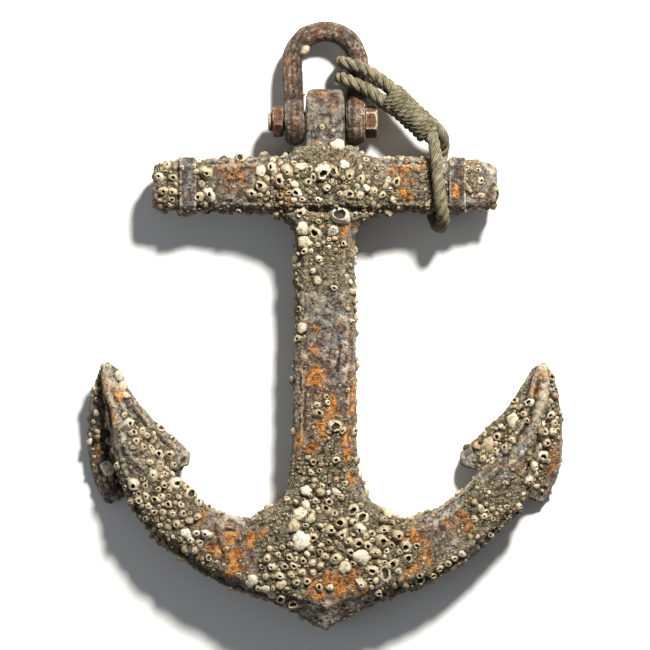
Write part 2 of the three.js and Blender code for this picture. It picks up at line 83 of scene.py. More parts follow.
world = bpy.data.worlds.new("world")
scene.world = world
world.use_nodes = True
world.node_tree.nodes["Background"].inputs[0].default_value = (0.93, 0.96, 1.0, 1)
world.node_tree.nodes["Background"].inputs[1].default_value = 0.17


def area_light(name, pos, size, watts, colour=(1, 1, 1), aim=(0, 0, 0.03)):
    d = bpy.data.lights.new(name, "AREA")
    d.shape = "DISK"
    d.size = size
    d.energy = watts
    d.color = colour
    o = bpy.data.objects.new(name, d)
    o.location = pos
    o.rotation_euler = (Vector(aim) - Vector(pos)).to_track_quat("-Z", "Y").to_euler()
    scene.collection.objects.link(o)
    return o


area_light("key", (0.85, 1.85, 1.95), 0.50, 232, (1.0, 0.965, 0.90))
area_light("fill", (-1.9, -0.6, 1.9), 1.6, 5, (0.88, 0.94, 1.0))


# ===================================================================== helpers
def lin(r, g, b, a=1.0):
    def f(c):
        c /= 255.0
        return c / 12.92 if c <= 0.04045 else ((c + 0.055) / 1.055) ** 2.4

    return (f(r), f(g), f(b), a)


def smooth(a, b, x):
    t = np.clip((x - a) / (b - a), 0, 1)
    return t * t * (3 - 2 * t)


def unit(v):
    return v / np.maximum(np.linalg.norm(v, axis=-1, keepdims=True), 1e-12)


def _hash(ix, iy, iz, seed):
    m = np.uint32(0xFFFFFFFF)
    with np.errstate(over="ignore"):
        h = (
            ix.astype(np.uint32) * np.uint32(374761393)
            + iy.astype(np.uint32) * np.uint32(668265263)
            + iz.astype(np.uint32) * np.uint32(2246822519)
            + np.uint32((seed * 3266489917) & 0xFFFFFFFF)
        ) & m
        h = (h ^ (h >> np.uint32(15))) * np.uint32(2246822519)
        h = (h ^ (h >> np.uint32(13))) * np.uint32(3266489917)
        return h ^ (h >> np.uint32(16))


def gnoise(p, seed=0):
    """Gradient noise, about -1 to 1, of an (n, 3) array."""
    i = np.floor(p).astype(np.int64)
    f = p - i
    u = f * f * f * (f * (f * 6 - 15) + 10)
    out = 0
    for dx in (0, 1):
        wx = u[:, 0] if dx else 1 - u[:, 0]
        for dy in (0, 1):
            wy = u[:, 1] if dy else 1 - u[:, 1]
            for dz in (0, 1):
                wz = u[:, 2] if dz else 1 - u[:, 2]
                h = _hash(i[:, 0] + dx, i[:, 1] + dy, i[:, 2] + dz, seed)
                gx = ((h & 1023).astype(float) / 511.5 - 1)
                gy = (((h >> np.uint32(10)) & 1023).astype(float) / 511.5 - 1)
                gz = (((h >> np.uint32(20)) & 1023).astype(float) / 511.5 - 1)
                out = out + wx * wy * wz * (
                    gx * (f[:, 0] - dx) + gy * (f[:, 1] - dy) + gz * (f[:, 2] - dz)
                )
    return out * 1.6


def fbm(p, size, octaves=3, seed=0, gain=0.5):
    """Fractal noise; `size` is the length of its largest features."""
    out, amp, tot, s = 0, 1.0, 0.0, 1.0 / size
    for o in range(octaves):
        out = out + amp * gnoise(p * s + 17.3 * o, seed + 31 * o)
        tot += amp
        amp *= gain
        s *= 2.03
    return out / tot


def worley(p, size, seed=0):
    """Distance to the nearest scattered point, in units of `size`, and its hash."""
    q = p / size
    i = np.floor(q).astype(np.int64)
    best = np.full(len(p), 9.0)
    who = np.zeros(len(p))
    for dx in (-1, 0, 1):
        for dy in (-1, 0, 1):
            for dz in (-1, 0, 1):
                c = i + np.array([dx, dy, dz])
                h = _hash(c[:, 0], c[:, 1], c[:, 2], seed)
                off = np.stack(
                    [
                        (h & 1023) / 1023.0,
                        ((h >> np.uint32(10)) & 1023) / 1023.0,
                        ((h >> np.uint32(20)) & 1023) / 1023.0,
                    ],
                    1,
                )
                d = np.linalg.norm(c + off - q, axis=1)
                near = d < best
                best = np.where(near, d, best)
                who = np.where(near, (h >> np.uint32(7)) % 1000 / 999.0, who)
    return best, who


def mesh_object(name, verts, quads=None, tris=None, attrs=None, uv=None):
    """An object from numpy arrays. attrs are (n, 4) colours per point."""
    parts, totals = [], []
    if quads is not None and len(quads):
        parts.append(quads.reshape(-1))
        totals.append(np.full(len(quads), 4, np.int32))
    if tris is not None and len(tris):
        parts.append(tris.reshape(-1))
        totals.append(np.full(len(tris), 3, np.int32))
    loops = np.concatenate(parts).astype(np.int32)
    total = np.concatenate(totals)
    start = np.concatenate([[0], np.cumsum(total)[:-1]]).astype(np.int32)
    me = bpy.data.meshes.new(name)
    me.vertices.add(len(verts))
    me.vertices.foreach_set("co", np.asarray(verts, np.float32).reshape(-1))
    me.loops.add(len(loops))
    me.loops.foreach_set("vertex_index", loops)
    me.polygons.add(len(total))
    me.polygons.foreach_set("loop_start", start)
    me.polygons.foreach_set("loop_total", total)
    me.update(calc_edges=True)
    me.polygons.foreach_set("use_smooth", np.ones(len(total), bool))
    for key, val in (attrs or {}).items():
        a = me.attributes.new(key, "FLOAT_COLOR", "POINT")
        a.data.foreach_set("color", np.asarray(val, np.float32).reshape(-1))
    if uv is not None:
        layer = me.uv_layers.new(name="lay")
        layer.data.foreach_set("uv", np.asarray(uv, np.float32)[loops].reshape(-1))
    me.validate()
    ob = bpy.data.objects.new(name, me)
    scene.collection.objects.link(ob)
    return ob


def arrays_of(me):
    n = len(me.vertices)
    co = np.zeros(n * 3, np.float32)
    me.vertices.foreach_get("co", co)
    no = np.zeros(n * 3, np.float32)
    me.vertex_normals.foreach_get("vector", no)
    return co.reshape(-1, 3).astype(float), no.reshape(-1, 3).astype(float)


def triangles_of(me):
    me.calc_loop_triangles()
    t = np.zeros(len(me.loop_triangles) * 3, np.int32)
    me.loop_triangles.foreach_get("vertices", t)
    return t.reshape(-1, 3)


def remeshed(name, nodes, voxel, relax=1):
    """The CAD nodes' shape as one even, dense mesh."""
    import bmesh

    bm = bmesh.new()
    for n in nodes:
        bm.from_mesh(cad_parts[n].data)
    bmesh.ops.remove_doubles(bm, verts=bm.verts, dist=1e-6)
    me = bpy.data.meshes.new(name)
    bm.to_mesh(me)
    bm.free()
    ob = bpy.data.objects.new(name, me)
    scene.collection.objects.link(ob)
    mod = ob.modifiers.new("even", "REMESH")
    mod.mode = "VOXEL"
    mod.voxel_size = voxel
    mod.adaptivity = 0.0
    if relax:
        sm = ob.modifiers.new("soft", "SMOOTH")
        sm.factor = 0.5
        sm.iterations = relax
    dg = bpy.context.evaluated_depsgraph_get()
    made = bpy.data.meshes.new_from_object(ob.evaluated_get(dg))
    bpy.data.objects.remove(ob)
    made.name = name
    for a in [a.name for a in made.attributes if not a.is_internal and a.name not in ("position", "sharp_face", "material_index", ".corner_vert", ".corner_edge", ".edge_verts")]:
        try:
            made.attributes.remove(made.attributes[a])
        except Exception:
            pass
    made.materials.clear()
    return made


def catmull(rows, step, closed=False):
    """Centripetal Catmull-Rom through the rows, resampled evenly."""
    p = np.asarray(rows, float)
    ext = np.vstack([2 * p[0] - p[1], p, 2 * p[-1] - p[-2]])
    out = []
    for i in range(1, len(ext) - 2):
        p0, p1, p2, p3 = ext[i - 1], ext[i], ext[i + 1], ext[i + 2]
        t0 = 0.0
        t1 = t0 + np.linalg.norm(p1 - p0) ** 0.5
        t2 = t1 + np.linalg.norm(p2 - p1) ** 0.5
        t3 = t2 + np.linalg.norm(p3 - p2) ** 0.5
        t = np.linspace(t1, t2, 24, endpoint=False)[:, None]
        a1 = (t1 - t) / (t1 - t0) * p0 + (t - t0) / (t1 - t0) * p1
        a2 = (t2 - t) / (t2 - t1) * p1 + (t - t1) / (t2 - t1) * p2
        a3 = (t3 - t) / (t3 - t2) * p2 + (t - t2) / (t3 - t2) * p3
        b1 = (t2 - t) / (t2 - t0) * a1 + (t - t0) / (t2 - t0) * a2
        b2 = (t3 - t) / (t3 - t1) * a2 + (t - t1) / (t3 - t1) * a3
        out.append((t2 - t) / (t2 - t1) * b1 + (t - t1) / (t2 - t1) * b2)
    pts = np.vstack(out + [p[-1:]])
    s = np.concatenate([[0], np.cumsum(np.linalg.norm(np.diff(pts, axis=0), axis=1))])
    n = max(2, int(round(s[-1] / step)) + 1)
    q = np.linspace(0, s[-1], n)
    return np.stack([np.interp(q, s, pts[:, k]) for k in range(3)], 1), q


def frames_along(p):
    """Tangents and a steady pair of side vectors along a line of points."""
    t = unit(np.gradient(p, axis=0))
    n = np.zeros_like(p)
    a = np.array([0, 0, 1.0]) if abs(t[0][2]) < 0.9 else np.array([1.0, 0, 0])
    n[0] = unit(a - t[0] * a.dot(t[0]))
    for i in range(1, len(p)):
        v = n[i - 1] - t[i] * n[i - 1].dot(t[i])
        n[i] = v / np.linalg.norm(v)
    return t, n, np.cross(t, n)


# ================================================================== the colours
class Nodes:
    """Short hand for building a node material."""

    def __init__(self, name):
        self.mat = bpy.data.materials.new(name)
        self.mat.use_nodes = True
        self.t = self.mat.node_tree
        self.bsdf = self.t.nodes["Principled BSDF"]
        self.bsdf.inputs["Specular IOR Level"].default_value = 0.3
        self.pos = self.new("ShaderNodeTexCoord").outputs["Object"]

    def new(self, kind, **props):
        n = self.t.nodes.new(kind)
        for k, v in props.items():
            setattr(n, k, v)
        return n

    def put(self, sock, val):
        if isinstance(val, bpy.types.NodeSocket):
            self.t.links.new(val, sock)
        elif val is not None:
            sock.default_value = val

    def noise(self, size, detail=6.0, rough=0.6, distort=0.0, vec=None, colour=False):
        n = self.new("ShaderNodeTexNoise")
        self.put(n.inputs["Vector"], vec if vec is not None else self.pos)
        n.inputs["Scale"].default_value = 1.0 / size
        n.inputs["Detail"].default_value = detail
        n.inputs["Roughness"].default_value = rough
        n.inputs["Distortion"].default_value = distort
        return n.outputs[1] if colour else n.outputs[0]

    def cells(self, size, feature="F1", rand=1.0, vec=None, out=0):
        n = self.new("ShaderNodeTexVoronoi", feature=feature)
        self.put(n.inputs["Vector"], vec if vec is not None else self.pos)
        n.inputs["Scale"].default_value = 1.0 / size
        n.inputs["Randomness"].default_value = rand
        return n.outputs[out]

    def math(self, op, a, b=None, c=None, clamp=False):
        n = self.new("ShaderNodeMath", operation=op)
        n.use_clamp = clamp
        self.put(n.inputs[0], a)
        if b is not None:
            self.put(n.inputs[1], b)
        if c is not None:
            self.put(n.inputs[2], c)
        return n.outputs[0]

    def ramp(self, x, a, b, lo=0.0, hi=1.0):
        n = self.new("ShaderNodeMapRange", interpolation_type="SMOOTHSTEP")
        self.put(n.inputs[0], x)
        n.inputs[1].default_value = a
        n.inputs[2].default_value = b
        n.inputs[3].default_value = lo
        n.inputs[4].default_value = hi
        return n.outputs[0]

    def mix(self, f, a, b, mode="MIX"):
        n = self.new("ShaderNodeMix", data_type="RGBA", blend_type=mode)
        self.put(n.inputs[0], f)
        self.put(n.inputs[6], a)
        self.put(n.inputs[7], b)
        return n.outputs[2]

    def stops(self, x, rows):
        n = self.new("ShaderNodeValToRGB")
        e = n.color_ramp.elements
        e[0].position, e[0].color = rows[0]
        e[1].position, e[1].color = rows[-1]
        for at, c in rows[1:-1]:
            s = e.new(at)
            s.color = c
        self.put(n.inputs[0], x)
        return n.outputs[0]

    def attr(self, name):
        n = self.new("ShaderNodeAttribute", attribute_name=name)
        s = self.new("ShaderNodeSeparateColor")
        self.t.links.new(n.outputs["Color"], s.inputs[0])
        return s.outputs[0], s.outputs[1], s.outputs[2], n.outputs["Alpha"]

    def bump(self, height, strength, distance, onto=None):
        n = self.new("ShaderNodeBump")
        n.inputs["Strength"].default_value = strength
        n.inputs["Distance"].default_value = distance
        self.put(n.inputs["Height"], height)
        if onto is not None:
            self.put(n.inputs["Normal"], onto)
        return n.outputs[0]


def iron_material(name, grey=(110, 103, 96), brown=(100, 68, 46), warm=0.0):
    m = Nodes(name)
    orange, crust, bare, hollow_shade_and_dirt = m.attr("RustAndHollowShade")
    pale_and_lit, shade_and_grime, green, proud = m.attr("FilmAndPaintedLight")
    n_big = m.noise(0.030, 5, 0.62, 0.4)
    n_mid = m.noise(0.0085, 7, 0.68, 0.3)
    n_fine = m.noise(0.0022, 4, 0.65)
    n_edge = m.noise(0.0060, 8, 0.72, 0.2)
    grain = m.cells(0.0022, rand=1.0)
    coarse = m.cells(0.0048, rand=1.0)

    # old iron: grey with a purple cast, broken by brown
    base = m.stops(
        m.math("ADD", m.math("MULTIPLY", n_mid, 0.75), m.math("MULTIPLY", n_fine, 0.25)),
        [
            (0.38, lin(22, 17, 15)),
            (0.455, lin(grey[0] * 0.56, grey[1] * 0.52, grey[2] * 0.52)),
            (0.52, lin(*grey)),
            (0.62, lin(grey[0] * 1.58, grey[1] * 1.57, grey[2] * 1.55)),
        ],
    )
    brown_c = m.stops(
        m.math("ADD", m.math("MULTIPLY", n_mid, 0.6), m.math("MULTIPLY", n_fine, 0.4)),
        [
            (0.36, lin(30, 20, 14)),
            (0.50, lin(*brown)),
            (0.66, lin(brown[0] * 1.62, brown[1] * 1.56, brown[2] * 1.46)),
        ],
    )
    to_brown = m.ramp(
        m.math("ADD", n_big, m.math("MULTIPLY", n_edge, 0.5)),
        0.70 - warm,
        0.92 - warm,
    )
    halo = m.ramp(
        m.math("ADD", orange, m.math("MULTIPLY", m.math("SUBTRACT", n_edge, 0.5), 1.4)),
        0.09,
        0.50,
    )
    to_brown = m.math("MAXIMUM", to_brown, m.math("MULTIPLY", halo, 0.92))
    base = m.mix(
        m.math("MULTIPLY", m.ramp(m.noise(0.021, 4, 0.6, 0.5), 0.47, 0.62), m.ramp(n_mid, 0.42, 0.56, 0.10, 0.85)),
        base,
        lin(104, 109, 112),
    )
    col = m.mix(to_brown, base, brown_c)
    # deep old rust, near black, in broad flakes
    flake = m.ramp(m.noise(0.0125, 6, 0.66, 0.5), 0.505, 0.575)
    col = m.mix(m.math("MULTIPLY", flake, m.ramp(halo, 0.0, 0.8, 0.34, 0.66)), col, lin(50, 36, 29))
    pits = m.math(
        "MULTIPLY", m.ramp(coarse, 0.12, 0.34, 1.0, 0.0), m.ramp(m.noise(0.016, 3, 0.6), 0.46, 0.58)
    )
    col = m.mix(m.math("MULTIPLY", pits, 0.8), col, lin(32, 25, 20))

    # granular crust
    crust_c = m.stops(
        m.math("ADD", m.math("MULTIPLY", n_mid, 0.60), m.math("MULTIPLY", n_fine, 0.45)),
        [
            (0.37, lin(50, 40, 27)),
            (0.45, lin(122, 105, 77)),
            (0.53, lin(178, 160, 125)),
            (0.63, lin(226, 211, 176)),
        ],
    )
    # the crust's grains: dark between them and light on their tops, where the bump sits low and high; their own grain
    # colour with painted shade and painted highlight
    crust_c = m.mix(m.ramp(grain, 0.34, 0.68, 0.0, 0.70), crust_c, lin(58, 47, 31))
    crust_c = m.mix(m.ramp(grain, 0.30, 0.12, 0.0, 0.75), crust_c, lin(206, 193, 162))
    crust_c = m.mix(
        m.math("MULTIPLY", m.ramp(n_big, 0.42, 0.62), 0.4), crust_c, lin(132, 130, 112)
    )
    f_crust = m.ramp(
        m.math("ADD", crust, m.math("MULTIPLY", m.math("SUBTRACT", n_edge, 0.5), 1.7)),
        0.32,
        0.62,
    )
    col = m.mix(f_crust, col, crust_c)

    # fresh orange rust, mottled
    orange_c = m.stops(
        m.math("ADD", m.math("MULTIPLY", n_fine, 0.32), m.math("MULTIPLY", n_mid, 0.73)),
        [
            (0.35, lin(62, 36, 22)),
            (0.445, lin(134, 78, 40)),
            (0.525, lin(214, 138, 62)),
            (0.65, lin(242, 186, 104)),
        ],
    )
    f_orange = m.ramp(
        m.math(
            "ADD",
            orange,
            m.math(
                "ADD",
                m.math("MULTIPLY", m.math("SUBTRACT", n_edge, 0.5), 2.3),
                m.math("MULTIPLY", m.math("SUBTRACT", n_fine, 0.5), 0.45),
            ),
        ),
        0.50,
        0.86,
        0.0,
        0.98,
    )
    col = m.mix(f_orange, col, orange_c)

    # bleached and green films over everything; the bleached patches are partly painted highlights on lit upper
    # bevels, ridges and edges
    f_pale_and_lit = m.ramp(
        m.math("ADD", pale_and_lit, m.math("MULTIPLY", m.math("SUBTRACT", n_edge, 0.5), 2.0)),
        0.40,
        0.95,
        0.0,
        0.62,
    )
    col = m.mix(f_pale_and_lit, col, lin(176, 170, 160))
    f_green = m.math("MULTIPLY", green, m.ramp(n_mid, 0.38, 0.62, 0.0, 0.7))
    col = m.mix(f_green, col, lin(120, 110, 62))
    # worn light on what stands proud; dark in the recesses, partly dirt and partly painted shade
    col = m.mix(
        m.math("MULTIPLY", proud, m.ramp(n_fine, 0.3, 0.6, 0.20, 0.66)),
        col,
        lin(208, 197, 170),
    )
    col = m.mix(
        m.math("MULTIPLY", hollow_shade_and_dirt, m.ramp(n_fine, 0.3, 0.7, 1.0, 0.8)), col, lin(22, 16, 10)
    )
    # painted shade with some dirt: faces turned from the key, near the floor, the head's sides
    f_shade_and_grime = m.math("MULTIPLY", shade_and_grime, m.ramp(n_mid, 0.30, 0.66, 1.0, 0.45))
    col = m.mix(f_shade_and_grime, col, lin(22, 17, 11))
    # specks
    speck = m.ramp(m.cells(0.0017, rand=1.0), 0.05, 0.17, 1.0, 0.0)
    col = m.mix(m.math("MULTIPLY", speck, 0.45), col, lin(205, 192, 162))
    m.put(m.bsdf.inputs["Base Color"], col)

    rough = m.math("ADD", m.math("MULTIPLY", n_mid, 0.30), 0.52)
    m.put(
        m.bsdf.inputs["Roughness"],
        m.math("ADD", rough, m.math("MULTIPLY", f_crust, 0.25), clamp=True),
    )

    h_iron = m.math(
        "SUBTRACT",
        m.math("ADD", m.math("MULTIPLY", n_mid, 1.2), m.math("MULTIPLY", n_fine, 0.6)),
        m.math("MULTIPLY", pits, 0.5),
    )
    h_crust = m.math(
        "SUBTRACT",
        m.math("MULTIPLY", n_fine, 0.9),
        m.math("ADD", m.math("MULTIPLY", grain, 1.0), m.math("MULTIPLY", coarse, 1.0)),
    )
    nb = m.bump(h_iron, 1.0, 0.0036)
    n2 = m.new("ShaderNodeBump")
    m.put(n2.inputs["Strength"], m.math("MULTIPLY", f_crust, 1.0))
    n2.inputs["Distance"].default_value = 0.0036
    m.put(n2.inputs["Height"], h_crust)
    m.put(n2.inputs["Normal"], nb)
    n3 = m.new("ShaderNodeBump")
    m.put(n3.inputs["Strength"], m.math("MULTIPLY", f_orange, 0.9))
    n3.inputs["Distance"].default_value = 0.0014
    m.put(n3.inputs["Height"], m.math("ADD", n_fine, f_orange))
    m.put(n3.inputs["Normal"], n2.outputs[0])
    m.put(m.bsdf.inputs["Normal"], n3.outputs[0])
    return m.mat


def shell_material(name):
    m = Nodes(name)
    tone, inner, high, hue = m.attr("Shell")
    n_mid = m.noise(0.006, 6, 0.65)
    n_fine = m.noise(0.0014, 5, 0.7)
    n_wide = m.noise(0.020, 4, 0.6)
    body = m.stops(
        m.math("ADD", m.math("MULTIPLY", tone, 0.7), m.math("MULTIPLY", n_mid, 0.35)),
        [
            (0.12, lin(104, 90, 66)),
            (0.38, lin(146, 131, 103)),
            (0.66, lin(186, 171, 142)),
            (0.92, lin(228, 220, 204)),
        ],
    )
    tinted = m.mix(
        m.ramp(hue, 0.90, 1.0, 0.0, 0.8), body, lin(172, 130, 96)
    )
    tinted = m.mix(m.ramp(hue, 0.10, 0.0, 0.0, 0.7), tinted, lin(134, 134, 108))
    # darker towards each shell's root, partly dirt and partly painted shade; worn light on the rim
    dirt = m.math(
        "MULTIPLY",
        m.ramp(high, 0.45, 0.0),
        m.ramp(m.math("ADD", n_mid, m.math("MULTIPLY", n_fine, 0.35)), 0.45, 0.80, 0.55, 1.0),
    )
    tinted = m.mix(m.ramp(high, 0.80, 1.0, 0.0, 0.22), tinted, lin(214, 204, 178))
    col = m.mix(dirt, tinted, lin(52, 42, 26))
    film = m.ramp(m.math("ADD", n_mid, m.math("MULTIPLY", n_fine, 0.6)), 0.76, 0.94, 0.0, 0.75)
    col = m.mix(film, col, lin(98, 84, 58))
    col = m.mix(m.ramp(inner, 0.35, 1.0, 0.0, 0.96), col, lin(36, 28, 19))
    pores = m.ramp(m.cells(0.0013), 0.08, 0.22, 1.0, 0.0)
    col = m.mix(m.math("MULTIPLY", pores, 0.45), col, lin(74, 60, 40))
    m.put(m.bsdf.inputs["Base Color"], col)
    m.bsdf.inputs["Roughness"].default_value = 0.86
    h = m.math("ADD", m.math("MULTIPLY", n_fine, 1.0), m.math("MULTIPLY", n_mid, 0.8))
    m.put(m.bsdf.inputs["Normal"], m.bump(h, 1.0, 0.0014))
    return m.mat


def rope_material(name, tint=(150, 143, 108)):
    m = Nodes(name)
    uvn = m.new("ShaderNodeUVMap", uv_map="lay").outputs[0]
    green, dirt, gap_shade, _ = m.attr("Rope")
    sep = m.new("ShaderNodeSeparateXYZ")
    m.put(sep.inputs[0], uvn)
    along, around = sep.outputs[0], sep.outputs[1]
    # yarns that run round the strand against its lay
    ph = m.math(
        "ADD", m.math("MULTIPLY", around, 9.0 * 2 * math.pi), m.math("MULTIPLY", along, 2 * math.pi)
    )
    wob = m.noise(0.004, 3, 0.6)
    yarn = m.math("SINE", m.math("ADD", ph, m.math("MULTIPLY", wob, 5.0)))
    yarn = m.math("MULTIPLY_ADD", yarn, 0.5, 0.5)
    n_mid = m.noise(0.010, 6, 0.65)
    n_fine = m.noise(0.0012, 4, 0.7)
    col = m.stops(
        m.math("ADD", m.math("MULTIPLY", n_mid, 0.7), m.math("MULTIPLY", n_fine, 0.35)),
        [
            (0.30, lin(tint[0] * 0.45, tint[1] * 0.43, tint[2] * 0.38)),
            (0.50, lin(tint[0] * 0.92, tint[1] * 0.92, tint[2] * 0.90)),
            (0.72, lin(tint[0] * 1.38, tint[1] * 1.37, tint[2] * 1.42)),
        ],
    )
    # painted shade in the troughs between yarns
    col = m.mix(m.ramp(yarn, 0.0, 0.42, 0.78, 0.0), col, lin(34, 28, 17))
    col = m.mix(m.math("MULTIPLY", green, m.ramp(n_mid, 0.35, 0.6, 0.2, 0.9)), col, lin(100, 96, 64))
    col = m.mix(m.math("MULTIPLY", dirt, m.ramp(n_mid, 0.35, 0.65, 0.9, 0.3)), col, lin(62, 50, 34))
    # painted shade in the grooves between the strands
    col = m.mix(m.ramp(gap_shade, 0.12, 0.72, 0.0, 0.96), col, lin(16, 13, 8))
    m.put(m.bsdf.inputs["Base Color"], col)
    m.bsdf.inputs["Roughness"].default_value = 0.93
    h = m.math(
        "ADD", m.math("MULTIPLY", yarn, 0.8), m.math("MULTIPLY", n_fine, 1.2)
    )
    m.put(m.bsdf.inputs["Normal"], m.bump(h, 0.7, 0.0008))
    return m.mat


def plain_noise_material(name, colour, spread=0.05):
    m = Nodes(name)
    n = m.noise(0.6, 3, 0.5)
    a = tuple(min(1.0, c * (1 - spread)) for c in colour[:3]) + (1,)
    b = tuple(min(1.0, c * (1 + spread)) for c in colour[:3]) + (1,)
    m.put(m.bsdf.inputs["Base Color"], m.stops(n, [(0.3, a), (0.7, b)]))
    m.bsdf.inputs["Roughness"].default_value = 0.9
    return m.mat


# the floor that it lies on
floor_me = bpy.data.meshes.new("floor")
floor_me.from_pydata(
    [(-6, -6, -0.0002), (6, -6, -0.0002), (6, 6, -0.0002), (-6, 6, -0.0002)],
    [],
    [(0, 1, 2, 3)],
)
floor = bpy.data.objects.new("floor", floor_me)
scene.collection.objects.link(floor)
floor_me.materials.append(plain_noise_material("floor_paint", (0.86, 0.86, 0.855), 0.01))

# ==================================================================== the ropes
BOLT_Y, DROOP = 202.5, math.radians(8.8)
EYE_X, BOW_CENTRE, BOW_RADIUS, BOW_ROD = 30.4, 58.5, 33.5, 10.4
ROPE_R = 6.4


def leg_at(y):
    s = (y - BOLT_Y) / math.cos(DROOP)
    up = max(0.0, s - BOW_CENTRE)
    if s < 40:
        x = EYE_X + 0.8 + ((s - 26) / 14) * 1.2
    elif s < BOW_CENTRE:
        x = EYE_X + 2 + ((s - 40) / (BOW_CENTRE - 40)) * (BOW_RADIUS - EYE_X - 2)
    else:
        x = math.sqrt(BOW_RADIUS**2 - up**2)
    return x, MID - s * math.sin(DROOP)


WRAP = BOW_ROD + ROPE_R + 0.5


def turn_round(front, left, back, run_in, run_out):
    rows = []
    for i in range(9):
        a = i / 8 * math.pi
        y = (
            front + (left - front) * math.sin(a)
            if i < 4
            else back + (left - back) * math.sin(a)
        )
        cx, cz = leg_at(y)
        rows.append((cx - WRAP * math.sin(a), y, cz + WRAP * math.cos(a)))
    return run_in + rows + run_out


UPPER_TURN = turn_round(
    258, 262.5, 257,
    [(76, 228, 41.6), (66, 236.5, 42.6), (56, 244.5, 43), (45, 252, 43)],
    [(45, 250.5, 9), (55, 243.5, 14.5), (64, 236.5, 24), (74, 227.5, 32.5)],
)
LOWER_TURN = turn_round(
    239.5, 247, 241.5,
    [(69, 214.5, 42.4), (59, 222.5, 43.6), (48.5, 230, 44.6), (40.5, 235.5, 44.4)],
    [(44, 235.5, 11), (50, 229.5, 16), (57, 223, 24.5), (67, 215, 32)],
)
STOCK_LOOP = [
    (102, 197, 46), (106.5, 189, 49), (108.5, 181, 55.5), (110, 172.5, 59.2),
    (111, 162, 59.9), (113, 140, 59.9), (115.5, 120, 59.2), (117.5, 109.5, 54),
    (117.5, 102, 45), (116, 98.2, 33), (113, 99.5, 21.5), (110, 107, 11.5),
    (109, 119, 6.95), (111.5, 139, 6.85), (114.5, 157, 6.95), (117.5, 169.5, 9.2),
    (119, 179.5, 16), (117.5, 188.5, 25.5), (112.5, 195.5, 32.5), (105, 201, 36),
]
LASH_TOP = np.array([61.5, 232, 36.0])
LASH_FOOT = np.array([108, 189, 41.0])
LASH_ROWS = [
    (-0.02, 12, 13), (0.03, 15.5, 17), (0.14, 15.4, 17), (0.35, 14.6, 16.4),
    (0.6, 14.2, 15.6), (0.85, 14.6, 15.2), (0.97, 14.4, 14.8), (1.02, 11.5, 12),
]
BLEND = dict(
    start=tuple(LASH_FOOT * U), end=(50 * U, 238 * U, 35 * U)
)


def laid_rope(name, rows, radius, pitch, step, sides=12, moss=None, seed=1, swell=None, hand=1, thick=0.50):
    """Three strands laid up round a line, in modules. Returns the object, the
    centre line in metres and its length."""
    line, s = catmull(rows, step)
    t, n, b = frames_along(line)
    m = len(line)
    grow = np.ones(m) if swell is None else swell(s / s[-1], line)
    verts, quads, tris, uvs, tint = [], [], [], [], []
    base = 0
    rs = radius * thick
    rc = radius * (1 - thick)
    th = np.linspace(0, 2 * np.pi, sides, endpoint=False)
    for k in range(3):
        a = hand * 2 * np.pi * s / pitch + k * 2 * np.pi / 3
        out = n * np.cos(a)[:, None] + b * np.sin(a)[:, None]
        c = line + out * (rc * grow)[:, None]
        # the strand's own direction, and its section across it
        d = unit(np.gradient(c, axis=0))
        e1 = unit(out - d * np.sum(out * d, 1, keepdims=True))
        e2 = np.cross(d, e1)
        ring = (
            c[:, None, :]
            + (e1[:, None, :] * np.cos(th)[None, :, None] * 1.0
               + e2[:, None, :] * np.sin(th)[None, :, None] * 1.04)
            * (rs * grow)[:, None, None]
        )
        # fibres: a little unevenness
        flat = ring.reshape(-1, 3)
        rad = (ring - c[:, None, :]).reshape(-1, 3)
        bump = fbm(flat, 2.6, 2, seed + k) * 0.07
        if moss is not None:
            mm = np.repeat(moss(s / s[-1], line), sides)
            bump = bump + mm * (0.22 * fbm(flat, 3.0, 2, seed + 40) + 0.16 * fbm(flat, 1.3, 2, seed + 50) + 0.06)
        flat = flat + rad * bump[:, None]
        cap0 = c[0] - d[0] * rs * 0.4
        cap1 = c[-1] + d[-1] * rs * 0.4
        verts.append(np.vstack([flat, cap0[None], cap1[None]]))
        i = np.arange(m - 1)[:, None] * sides + np.arange(sides)[None, :]
        j = np.arange(m - 1)[:, None] * sides + (np.arange(sides) + 1)[None, :] % sides
        quads.append(base + np.stack([i, j, j + sides, i + sides], -1).reshape(-1, 4))
        e = np.arange(sides)
        f = (e + 1) % sides
        tris.append(base + np.stack([f, e, np.full(sides, m * sides)], 1))
        tris.append(base + np.stack([(m - 1) * sides + e, (m - 1) * sides + f, np.full(sides, m * sides + 1)], 1))
        along = np.repeat(s / (radius * 1.1), sides)
        around = np.tile(np.arange(sides) / sides, m)
        uvs.append(np.vstack([np.stack([along, around], 1), [[0, 0], [along[-1], 0]]]))
        g = np.repeat(moss(s / s[-1], line), sides) if moss is not None else np.zeros(m * sides)
        dirt = smooth(0.05, 0.45, fbm(flat, 11.0, 2, seed + 9)) * 0.6
        # how deep a point lies in the grooves between the strands, where painted shade goes; the strand ends get it
        # in full
        depth = np.linalg.norm(flat - np.repeat(line, sides, 0), axis=1) / (radius)
        gap_shade_v = smooth(0.74, 0.52, depth)
        tint.append(np.vstack([np.stack([g, dirt, gap_shade_v, np.ones_like(g)], 1), [[0, 0, 1, 1], [0, 0, 1, 1]]]))
        base += len(verts[-1])
    v = np.vstack(verts) * U
    v[:, 2] = np.maximum(v[:, 2], 0.0003)
    ob = mesh_object(name, v, np.vstack(quads), np.vstack(tris), {"Rope": np.vstack(tint)}, np.vstack(uvs))
    keep = np.linspace(0, m - 1, 60).astype(int)
    return ob, line[keep] * U, s[-1] * U


def stock_moss(t, line):
    return np.clip(smooth(0.14, 0.42, t) * (1 - smooth(0.62, 0.9, t)), 0, 1) * 0.9 + 0.12


def light_moss(t, line):
    return 0.10 + 0.10 * np.sin(t * 9.0) ** 2


rope_mat = rope_material("laid_rope_fibre", (122, 115, 94))
line_mat = rope_material("lashing_fibre", (118, 112, 90))

